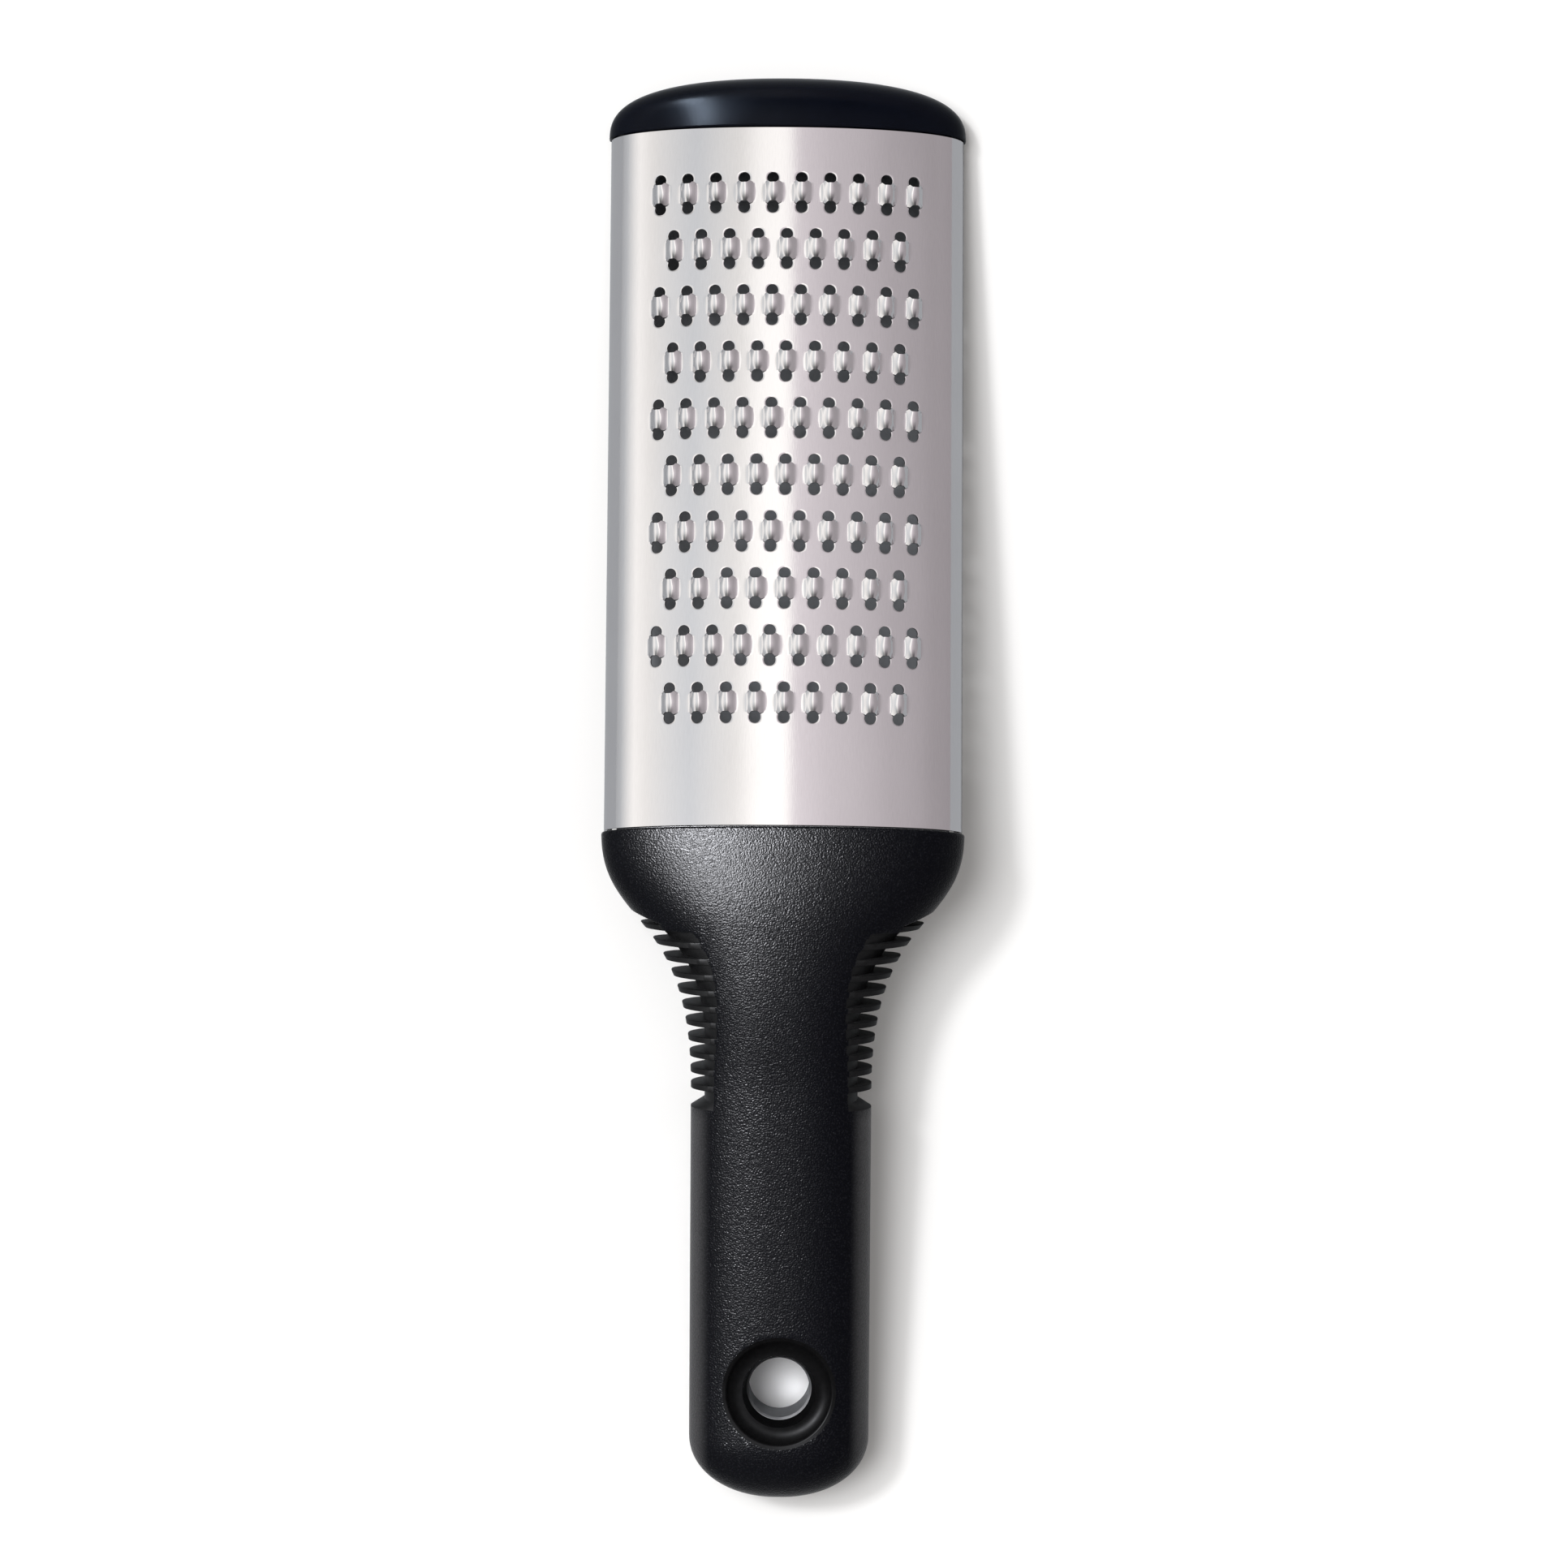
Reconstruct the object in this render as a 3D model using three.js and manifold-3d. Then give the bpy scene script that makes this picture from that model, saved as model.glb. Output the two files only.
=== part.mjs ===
// Hand-held rasp grater: an arched blade of bridge teeth, an end cap and a finned soft-grip handle.
// Millimetres, +Z up. The cap points to +Y, and the grater stands on its foot and on the heel of the handle.
import * as THREE from 'three';
import { mergeVertices } from 'three/addons/utils/BufferGeometryUtils.js';
import Module from 'manifold-3d';

// Fits, and how finely round forms are stepped
const SEAT_GAP = 0.3;
const WELD = 1e-5;
const ARC_STEP = 1e-4;
const HALVINGS = 50;
const ARCH_STEPS = 18;
const RING_STEPS = 20;
const ROUND_STEPS = 20;
const END_STEPS = 7;
const NEAR_POLE = 0.985;

// Blade sheet
const BLADE_LENGTH = 138;
const BLADE_HALF_WIDTH = 35;
const BLADE_RISE = 12.9;
const BLADE_ROUNDNESS = 2.1;
const BLADE_TILT = THREE.MathUtils.degToRad(6.8);
const SHEET = 0.6;
const SKIRT = 1;
const HEM_HEIGHT = 3.5;
const ROLLED_SIDE_STEPS = 5;
const HEM_LEAF = 2 * SHEET;

// Teeth
const TOOTH_ROWS = 10;
const TEETH_IN_FIRST_ROW = 10;
const TOOTH_PITCH = 5.62;
const ROW_PITCH = 11.2;
const FIRST_ROW = 13.3;
const TOOTH_HOLE = 2.35;
const TOOTH_HOLE_SPACING = 5.8;
const TOOTH_HOLE_STEPS = 3;
const SLOT_REACH = 1.8;
const BRIDGE_LENGTH = 3.6;
const BRIDGE_RISE = 1.15;
const BRIDGE_WALL = 0.38;
const BRIDGE_SETBACK = 0.03;
const BRIDGE_OUTSIDE_STEPS = 4;
const BRIDGE_INSIDE_STEPS = 3;

// End cap and its foot
const CAP_LENGTH = 12;
const CAP_PLAN_ROUNDNESS = 2.65;
const CAP_CROWN_ROUNDNESS = 2.8;
const CAP_PROUD = 0.4;
const PLUG_LENGTH = 7;
const PLUG_WALL = 2;
const FOOT_INSET = 1.8;
const FOOT_BACK = 1.5;
const FOOT_RECESS = 1;
const FOOT_PROUD = 0.5;
const FOOT_STEPS = 16;

// Grip
const HANDLE_LENGTH = 131.5;
const HANDLE_HALF_WIDTH = 17.7;
const HANDLE_TOP = 10.2;
const HANDLE_BOTTOM = 10.8;
const HANDLE_ROUNDNESS = 2.35;
const SHOULDER_LIP = 0.5;
const SHOULDER_FLOOR = 2.8;
const SHOULDER_FLOOR_ROUNDNESS = 5;
const SHOULDER_REACH = 18.7;
const WAIST_REACH = 14.2;
const SHOULDER_STEPS = 6;
const NECK_LENGTH = 50;
const BEND_LENGTH = 16;
const END_ROUND = 12.5;
const END_ROUNDNESS = 2.1;
const HEEL_FROM_END = 15;
const HEEL_FLAT = 0.3;

// Fins
const FIN_COUNT = 11;
const FIN_PITCH = 3.15;
const FIN_THICKNESS = 1.1;
const FIRST_FIN = 17.8;
const SCALLOP_DEPTH = 11;
const SCALLOP_END = 46;
const SCALLOP_LENGTH = 29.8;
const SCALLOP_POWER = 3.2;
const WAIST_HALF_WIDTH = 15;
const WAIST_HALF_HEIGHT = 13;
const WAIST_STEPS = 6;
const WEDGE_END = 23.3;
const WEDGE_SLOPE = 0.366;
const LAST_GROOVE_RAMP = 1.6;

// Hang hole
const HOLE_FROM_END = 22.6;
const HOLE_RADIUS = 5.95;
const EYELET_LENGTH = 9.3;
const EYELET_WALL = 2.5;
const THROAT_RADIUS = 7.2;
const DISH_RADIUS = 10.6;
const DISH_DEPTH = 2.1;
const DISH_STEPS = 3;
const DISH_OVERRUN = 1.15;

// Core inside the grip
const BULKHEAD = 4;
const BULKHEAD_FLOOR = 0.8;
const CORE_PLUG_LENGTH = 10;
const CORE_NECK_LENGTH = 38;
const CORE_NECK_REACH = 12.7;
const CORE_NECK_STEPS = 5;
const CORE_NECK_HALF_WIDTH = 31;
const CORE_NECK_TOP = 10.5;
const CORE_NECK_BOTTOM = 0.4;
const TANG_HALF_WIDTH = 10;
const TANG_HALF_HEIGHT = 5.5;
const TANG_TAPER = 21;
const TANG_TIP_HALF_WIDTH = 5;
const TANG_TIP_HALF_HEIGHT = 3.1;

const wasm = await Module();
wasm.setup();

// Solids from geometry, and geometry from solids

function solidFrom(geometry) {
  const bare = new THREE.BufferGeometry();
  bare.setAttribute('position', geometry.getAttribute('position'));
  bare.setIndex(geometry.index);
  const merged = mergeVertices(bare, WELD);
  return new wasm.Manifold(new wasm.Mesh({
    numProp: 3,
    vertProperties: new Float32Array(merged.getAttribute('position').array),
    triVerts: new Uint32Array(merged.index.array),
  }));
}

function geometryFrom(solid) {
  const mesh = solid.getMesh();
  const geometry = new THREE.BufferGeometry();
  geometry.setAttribute('position', new THREE.BufferAttribute(mesh.vertProperties, 3));
  geometry.setIndex(new THREE.BufferAttribute(mesh.triVerts, 1));
  geometry.computeVertexNormals();
  return geometry;
}

// A closed skin over rings of points that have the same count and turn the same way.
function loft(rings) {
  const count = rings[0].length;
  const positions = [];
  const index = [];
  for (const ring of rings) {
    for (const point of ring) positions.push(point.x, point.y, point.z);
  }
  for (let r = 0; r < rings.length - 1; r += 1) {
    for (let i = 0; i < count; i += 1) {
      const a = r * count + i;
      const b = r * count + ((i + 1) % count);
      index.push(a, b, b + count, a, b + count, a + count);
    }
  }
  for (const [ring, first] of [[rings[0], true], [rings.at(-1), false]]) {
    const middle = new THREE.Vector3();
    for (const point of ring) middle.addScaledVector(point, 1 / count);
    const centre = positions.length / 3;
    const start = first ? 0 : (rings.length - 1) * count;
    positions.push(middle.x, middle.y, middle.z);
    for (let i = 0; i < count; i += 1) {
      const here = start + i;
      const next = start + ((i + 1) % count);
      index.push(centre, first ? next : here, first ? here : next);
    }
  }
  const geometry = new THREE.BufferGeometry();
  geometry.setAttribute('position', new THREE.Float32BufferAttribute(positions, 3));
  geometry.setIndex(index);
  return geometry;
}

// An outline in x and height, pushed along the blade from one station to another.
function alongBlade(outline, from, to) {
  const geometry = new THREE.ExtrudeGeometry(new THREE.Shape(outline), {
    depth: to - from,
    bevelEnabled: false,
  });
  geometry.rotateX(Math.PI / 2);
  geometry.translate(0, to, 0);
  return solidFrom(geometry);
}

// An outline in plan, pushed straight up from one height to another.
function upward(outline, from, to) {
  const geometry = new THREE.ExtrudeGeometry(new THREE.Shape(outline), {
    depth: to - from,
    bevelEnabled: false,
  });
  geometry.translate(0, 0, from);
  return solidFrom(geometry);
}

// One quarter-turn rule for every rounded form: n = 2 is an ellipse, and a higher n is squarer.
function rounded(angle, n) {
  const c = Math.cos(angle);
  const s = Math.sin(angle);
  return [Math.sign(c) * Math.abs(c) ** (2 / n), Math.sign(s) * Math.abs(s) ** (2 / n)];
}

// The arch that the blade, cap, shoulder and plugs share. The crown is at height 0, and inset goes inwards.
function archPoint(angle, inset) {
  const [x, h] = rounded(angle, BLADE_ROUNDNESS);
  return new THREE.Vector2(x * (BLADE_HALF_WIDTH - inset), h * (BLADE_RISE - inset) - BLADE_RISE);
}

function archPoints(angles, inset) {
  return angles.map((angle) => archPoint(angle, inset));
}

// Even steps over the arch, from one angle above its side to the same angle above the other.
function evenAngles(start) {
  const angles = [];
  for (let k = 0; k <= ARCH_STEPS; k += 1) {
    angles.push(THREE.MathUtils.lerp(start, Math.PI - start, k / ARCH_STEPS));
  }
  return angles;
}

// The angle of the arch at a given length along its outside, measured from the crown.
function angleAtArc(length) {
  let travelled = 0;
  let angle = Math.PI / 2;
  let last = archPoint(angle, 0);
  while (travelled < length) {
    angle -= ARC_STEP;
    const next = archPoint(angle, 0);
    travelled += next.distanceTo(last);
    last = next;
  }
  return angle;
}

// Facets of the arch are half a tooth pitch wide and centred on the tooth columns; the rolled sides follow.
function sheetAngles() {
  const right = [];
  for (let k = 0.5; k < TEETH_IN_FIRST_ROW; k += 1) right.push(angleAtArc((k * TOOTH_PITCH) / 2));
  const roll = right.at(-1);
  for (let k = 1; k <= ROLLED_SIDE_STEPS; k += 1) right.push(roll * (1 - k / ROLLED_SIDE_STEPS));
  const left = right.map((angle) => Math.PI - angle);
  return [...right.reverse(), ...left];
}

const SHEET_ANGLES = sheetAngles();
const BLADE_BOTTOM = -(BLADE_RISE + SKIRT + SHEET);
const HEM_ANGLE = Math.asin(((HEM_HEIGHT - SKIRT - SHEET) / BLADE_RISE) ** (BLADE_ROUNDNESS / 2));

function mirrored(points) {
  return points.map((point) => new THREE.Vector2(-point.x, point.y));
}

// The sheet's section: outside arch, rolled hem with its inner leaf, and inside arch.
function bladeSection() {
  const outerFoot = new THREE.Vector2(BLADE_HALF_WIDTH, -BLADE_RISE - SKIRT);
  const hemOut = new THREE.Vector2(BLADE_HALF_WIDTH - SHEET / 2, BLADE_BOTTOM);
  const hemIn = new THREE.Vector2(BLADE_HALF_WIDTH - HEM_LEAF + SHEET / 2, BLADE_BOTTOM);
  const innerFoot = new THREE.Vector2(BLADE_HALF_WIDTH - HEM_LEAF, -BLADE_RISE - SKIRT);
  const hem = [hemOut, hemIn, innerFoot, archPoint(0, HEM_LEAF), archPoint(HEM_ANGLE, HEM_LEAF)];
  const inside = SHEET_ANGLES.filter((angle) => angle > HEM_ANGLE && angle < Math.PI - HEM_ANGLE);
  inside.unshift(HEM_ANGLE);
  inside.push(Math.PI - HEM_ANGLE);
  return [
    outerFoot,
    ...archPoints(SHEET_ANGLES, 0),
    ...mirrored([outerFoot, ...hem]),
    ...archPoints(inside, SHEET).reverse(),
    ...hem.reverse(),
  ];
}

// A tooth's slot: two round holes joined along the blade.
function toothSlot() {
  const outline = [];
  const reach = TOOTH_HOLE_SPACING / 2;
  for (const end of [1, -1]) {
    for (let k = 0; k <= TOOTH_HOLE_STEPS; k += 1) {
      const angle = (Math.PI * k) / TOOTH_HOLE_STEPS;
      const x = (TOOTH_HOLE / 2) * Math.cos(angle) * end;
      outline.push(new THREE.Vector2(x, end * (reach + (TOOTH_HOLE / 2) * Math.sin(angle))));
    }
  }
  return upward(outline, -SLOT_REACH, SLOT_REACH);
}

function bridgeArc(halfWidth, rise, sink, steps) {
  const arc = [];
  for (let k = 0; k <= steps; k += 1) {
    const angle = (Math.PI * k) / steps;
    arc.push(new THREE.Vector2(halfWidth * Math.cos(angle), rise * Math.sin(angle) - sink));
  }
  return arc;
}

// A tooth's bridge: a strip of the sheet arched over the slot, open at both ends so that it cuts both ways.
function toothBridge() {
  const sink = SHEET / 2;
  const rise = BRIDGE_RISE + sink;
  const innerHalf = TOOTH_HOLE / 2 + BRIDGE_SETBACK;
  const outside = bridgeArc(innerHalf + BRIDGE_WALL, rise, sink, BRIDGE_OUTSIDE_STEPS);
  const inside = bridgeArc(innerHalf, rise - BRIDGE_WALL, sink, BRIDGE_INSIDE_STEPS);
  return alongBlade([...outside, ...inside.reverse()], -BRIDGE_LENGTH / 2, BRIDGE_LENGTH / 2);
}

// Where each tooth stands on the sheet: rows of ten and nine teeth by turns, set half a pitch apart.
function toothPlaces() {
  const places = [];
  for (let row = 0; row < TOOTH_ROWS; row += 1) {
    const count = TEETH_IN_FIRST_ROW - (row % 2);
    for (let column = 0; column < count; column += 1) {
      const arc = (column - (count - 1) / 2) * TOOTH_PITCH;
      const angle = angleAtArc(Math.abs(arc));
      const ahead = archPoint(angleAtArc(Math.abs(arc) + TOOTH_PITCH / 4), 0);
      const behind = archPoint(2 * angle - angleAtArc(Math.abs(arc) + TOOTH_PITCH / 4), 0);
      const seat = ahead.clone().add(behind).multiplyScalar(0.5);
      const slope = Math.atan2(behind.y - ahead.y, ahead.x - behind.x);
      const side = arc < 0 ? -1 : 1;
      const place = new THREE.Matrix4().makeRotationY(side * slope);
      place.setPosition(side * seat.x, -FIRST_ROW - row * ROW_PITCH, seat.y);
      places.push(place);
    }
  }
  return places;
}

function gratingBlade() {
  const sheet = alongBlade(bladeSection(), -BLADE_LENGTH, -SEAT_GAP);
  const slot = toothSlot();
  const bridge = toothBridge();
  const places = toothPlaces();
  const slots = wasm.Manifold.union(places.map((place) => slot.transform(place.elements)));
  const bridges = wasm.Manifold.union(places.map((place) => bridge.transform(place.elements)));
  return sheet.subtract(slots).add(bridges);
}

// A short arched shell that slides in under the end of the blade, clear of the hems.
function plug(from, to) {
  const inset = SHEET + SEAT_GAP;
  const clearOfHem = HEM_ANGLE + (SEAT_GAP + SHEET) / BLADE_RISE;
  const angles = evenAngles(clearOfHem);
  const outline = [...archPoints(angles, inset), ...archPoints(angles, inset + PLUG_WALL).reverse()];
  return alongBlade(outline, from, to);
}

// The head frame: origin at the crown of the arch where cap and blade meet, +Y along the blade to the cap.
const CROWN_HEIGHT = FOOT_PROUD + CAP_LENGTH * Math.sin(BLADE_TILT) - BLADE_BOTTOM * Math.cos(BLADE_TILT);
const HEAD = new THREE.Matrix4().makeRotationX(-BLADE_TILT).setPosition(0, 0, CROWN_HEIGHT);

function floorBlock() {
  const size = 4 * HANDLE_LENGTH;
  const block = new THREE.BoxGeometry(size, size, size);
  block.translate(0, 0, -size / 2);
  return solidFrom(block);
}

// The cap's plan: a flat-fronted oval, given as half width and reach at an angle from the side to the front.
function capPlan(angle, inset) {
  const [across, along] = rounded(angle, CAP_PLAN_ROUNDNESS);
  return [across * (BLADE_HALF_WIDTH + CAP_PROUD - inset), along * (CAP_LENGTH - inset)];
}

function capDome() {
  const rings = [];
  for (let k = 0; k <= END_STEPS; k += 1) {
    const angle = (Math.PI / 2) * Math.min(k / END_STEPS, NEAR_POLE);
    const [halfWidth, reach] = capPlan(angle, 0);
    const taper = halfWidth / (BLADE_HALF_WIDTH + CAP_PROUD);
    const lift = (1 - (reach / CAP_LENGTH) ** CAP_CROWN_ROUNDNESS) ** (1 / CAP_CROWN_ROUNDNESS);
    const arch = archPoints(evenAngles(0), -CAP_PROUD);
    arch.unshift(new THREE.Vector2(BLADE_HALF_WIDTH + CAP_PROUD, BLADE_BOTTOM));
    arch.push(new THREE.Vector2(-BLADE_HALF_WIDTH - CAP_PROUD, BLADE_BOTTOM));
    rings.push(arch.map((point) => new THREE.Vector3(
      point.x * taper,
      reach,
      BLADE_BOTTOM + (point.y - BLADE_BOTTOM) * lift,
    )));
  }
  return solidFrom(loft(rings.reverse()));
}

function footOutline(inset) {
  const back = FOOT_BACK + inset - FOOT_INSET;
  const outline = [];
  for (let k = 0; k <= FOOT_STEPS; k += 1) {
    const [across, along] = capPlan((Math.PI * k) / FOOT_STEPS, inset);
    if (along > back) outline.push(new THREE.Vector2(across, along));
  }
  outline.push(new THREE.Vector2(outline.at(-1).x, back));
  outline.unshift(new THREE.Vector2(outline[0].x, back));
  return outline;
}

function endCap() {
  const seat = FOOT_INSET - SEAT_GAP;
  const recess = upward(footOutline(seat), BLADE_BOTTOM - SKIRT, BLADE_BOTTOM + FOOT_RECESS);
  return capDome().add(plug(-PLUG_LENGTH, PLUG_WALL)).subtract(recess);
}

function nonSlipFoot() {
  const depth = CROWN_HEIGHT + BLADE_BOTTOM + CAP_LENGTH;
  const pad = upward(footOutline(FOOT_INSET), BLADE_BOTTOM - depth, BLADE_BOTTOM + FOOT_RECESS - SEAT_GAP);
  return pad.transform(HEAD.elements).subtract(floorBlock());
}

// The spine of the handle starts level with the widest line of the arch, bends over inside the shoulder on an
// arc and then runs straight, dropping by the tilt that brings the heel down to the table.
const SPINE_START = new THREE.Vector3(0, -BLADE_LENGTH - SEAT_GAP, -BLADE_RISE).applyMatrix4(HEAD);

function spineAt(s, tilt) {
  const bend = BLADE_TILT + tilt;
  const radius = BEND_LENGTH / bend;
  const angle = BLADE_TILT - Math.min(s, BEND_LENGTH) / radius;
  const straight = Math.max(s - BEND_LENGTH, 0);
  return {
    angle,
    y: SPINE_START.y - radius * (Math.sin(BLADE_TILT) - Math.sin(angle)) - straight * Math.cos(angle),
    z: SPINE_START.z + radius * (Math.cos(angle) - Math.cos(BLADE_TILT)) + straight * Math.sin(angle),
  };
}

function handleTilt() {
  let low = 0;
  let high = Math.PI / 4;
  for (let k = 0; k < HALVINGS; k += 1) {
    const middle = (low + high) / 2;
    const heel = spineAt(HANDLE_LENGTH - HEEL_FROM_END, middle);
    const bottom = heel.z - HANDLE_BOTTOM * Math.cos(middle);
    if (bottom > -HEEL_FLAT) low = middle;
    else high = middle;
  }
  return low;
}

const HANDLE_TILT = handleTilt();

function spineFrame(s) {
  const { angle, y, z } = spineAt(s, HANDLE_TILT);
  return new THREE.Matrix4().makeRotationX(-angle).setPosition(0, y, z);
}

function smooth(t) {
  return THREE.MathUtils.smoothstep(t, 0, 1);
}

// Half width at s of an outline that leaves a broad shoulder level and settles into a narrow neck.
function waisted(s, broad, narrow, reach, settle, length) {
  const curve = new THREE.CubicBezierCurve(
    new THREE.Vector2(0, broad),
    new THREE.Vector2(reach, broad),
    new THREE.Vector2(settle, narrow),
    new THREE.Vector2(length, narrow),
  );
  let low = 0;
  let high = 1;
  for (let k = 0; k < HALVINGS; k += 1) {
    const middle = (low + high) / 2;
    if (curve.getPoint(middle).x < s) low = middle;
    else high = middle;
  }
  return curve.getPoint(low).y;
}

// One closed ring of the handle at s, from its half width, top and bottom heights and their roundness.
function spineRing(s, halfWidth, top, bottom, topN, bottomN) {
  const frame = spineFrame(s);
  const ring = [];
  for (let k = 0; k < RING_STEPS; k += 1) {
    const angle = (2 * Math.PI * k) / RING_STEPS;
    const n = angle <= Math.PI ? topN : bottomN;
    const [x, h] = rounded(angle, n);
    const height = h * (h > 0 ? top : bottom);
    ring.push(new THREE.Vector3(x * halfWidth, 0, height).applyMatrix4(frame));
  }
  return ring;
}

function gripRing(s) {
  const settle = smooth(s / NECK_LENGTH);
  const broad = BLADE_HALF_WIDTH + SHOULDER_LIP;
  const halfWidth = waisted(s, broad, HANDLE_HALF_WIDTH, SHOULDER_REACH, WAIST_REACH, NECK_LENGTH);
  const top = THREE.MathUtils.lerp(BLADE_RISE + SHOULDER_LIP, HANDLE_TOP, settle);
  const bottom = THREE.MathUtils.lerp(SHOULDER_FLOOR, HANDLE_BOTTOM, settle);
  const topN = THREE.MathUtils.lerp(BLADE_ROUNDNESS, HANDLE_ROUNDNESS, settle);
  const bottomN = THREE.MathUtils.lerp(SHOULDER_FLOOR_ROUNDNESS, HANDLE_ROUNDNESS, settle);
  const past = Math.max(s - HANDLE_LENGTH + END_ROUND, 0) / END_ROUND;
  const close = (1 - past ** END_ROUNDNESS) ** (1 / END_ROUNDNESS);
  return spineRing(s, halfWidth * close, top * close, bottom * close, topN, bottomN);
}

function gripBody() {
  const stations = [];
  for (let k = 0; k < SHOULDER_STEPS; k += 1) stations.push((FIRST_FIN * k) / SHOULDER_STEPS);
  for (let fin = 0; fin < FIN_COUNT; fin += 2) stations.push(FIRST_FIN + fin * FIN_PITCH);
  const straight = HANDLE_LENGTH - END_ROUND;
  stations.push(NECK_LENGTH + FIN_PITCH, straight);
  for (let k = 1; k <= END_STEPS; k += 1) {
    const [, reach] = rounded((Math.PI / 2) * Math.min(k / END_STEPS, NEAR_POLE), END_ROUNDNESS);
    stations.push(straight + END_ROUND * reach);
  }
  return solidFrom(loft(stations.map(gripRing)));
}

// The waist that the grooves are cut down to: it widens ever faster towards the shoulder, and its stations are
// closer together there.
function waistBody() {
  const rings = [];
  const from = FIRST_FIN - 2 * FIN_PITCH;
  const to = FIRST_FIN + (FIN_COUNT + 1) * FIN_PITCH;
  for (let k = 0; k <= WAIST_STEPS; k += 1) {
    const s = THREE.MathUtils.lerp(from, to, (k / WAIST_STEPS) ** 2);
    const dip = SCALLOP_DEPTH * (Math.max(SCALLOP_END - s, 0) / SCALLOP_LENGTH) ** SCALLOP_POWER;
    const height = WAIST_HALF_HEIGHT;
    rings.push(spineRing(s, WAIST_HALF_WIDTH + dip, height, height, HANDLE_ROUNDNESS, HANDLE_ROUNDNESS));
  }
  return solidFrom(loft(rings));
}

// One groove on the right side, in plan. The first is a wedge behind the shoulder's sloping back, and the last
// runs out to the grip on a slope.
function grooveOutline(k) {
  const edge = (FIN_PITCH - FIN_THICKNESS) / 2;
  const reach = 2 * BLADE_HALF_WIDTH;
  if (k === 0) {
    return [
      new THREE.Vector2(WEDGE_END, -edge),
      new THREE.Vector2(reach, -edge),
      new THREE.Vector2(reach, WEDGE_SLOPE * (reach - WEDGE_END) - edge),
    ];
  }
  const ramp = k === FIN_COUNT ? LAST_GROOVE_RAMP : 0;
  const slope = ramp * (reach - WAIST_HALF_WIDTH) / (HANDLE_HALF_WIDTH - WAIST_HALF_WIDTH);
  return [
    new THREE.Vector2(0, -edge),
    new THREE.Vector2(WAIST_HALF_WIDTH, -edge),
    new THREE.Vector2(reach, -edge - slope),
    new THREE.Vector2(reach, edge),
    new THREE.Vector2(0, edge),
  ];
}

// The grooves between the fins, on both sides of the waist.
function finGrooves() {
  const slabs = [];
  for (let k = 0; k <= FIN_COUNT; k += 1) {
    const frame = spineFrame(FIRST_FIN + (k - 0.5) * FIN_PITCH);
    const right = upward(grooveOutline(k), -WAIST_HALF_HEIGHT, WAIST_HALF_HEIGHT);
    slabs.push(right.transform(frame.elements), right.mirror([1, 0, 0]).transform(frame.elements));
  }
  return wasm.Manifold.union(slabs).subtract(waistBody());
}

// The hang hole in the grip: a dish on each face, a tapered throat and a mouth that meets the eyelet.
function hangHole() {
  const centre = (HANDLE_TOP - HANDLE_BOTTOM) / 2;
  const face = (HANDLE_TOP + HANDLE_BOTTOM) / 2;
  const half = [new THREE.Vector2(HOLE_RADIUS + SEAT_GAP, EYELET_LENGTH / 2)];
  for (let k = 0; k <= DISH_STEPS; k += 1) {
    const t = (DISH_OVERRUN * k) / DISH_STEPS;
    const radius = THREE.MathUtils.lerp(THROAT_RADIUS, DISH_RADIUS, t);
    half.push(new THREE.Vector2(radius, face - DISH_DEPTH * (1 - t * t)));
  }
  half.push(new THREE.Vector2(0, half.at(-1).y));
  const lower = half.map((point) => new THREE.Vector2(point.x, -point.y)).reverse();
  const cutter = new THREE.LatheGeometry([...lower, ...half], ROUND_STEPS);
  cutter.rotateX(Math.PI / 2);
  cutter.translate(0, 0, centre);
  cutter.applyMatrix4(spineFrame(HANDLE_LENGTH - HOLE_FROM_END));
  return solidFrom(cutter);
}

function eyelet(radius, length) {
  const cylinder = new THREE.CylinderGeometry(radius, radius, length, ROUND_STEPS);
  cylinder.rotateX(Math.PI / 2);
  cylinder.translate(0, 0, (HANDLE_TOP - HANDLE_BOTTOM) / 2);
  cylinder.applyMatrix4(spineFrame(HANDLE_LENGTH - HOLE_FROM_END));
  return solidFrom(cylinder);
}

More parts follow.
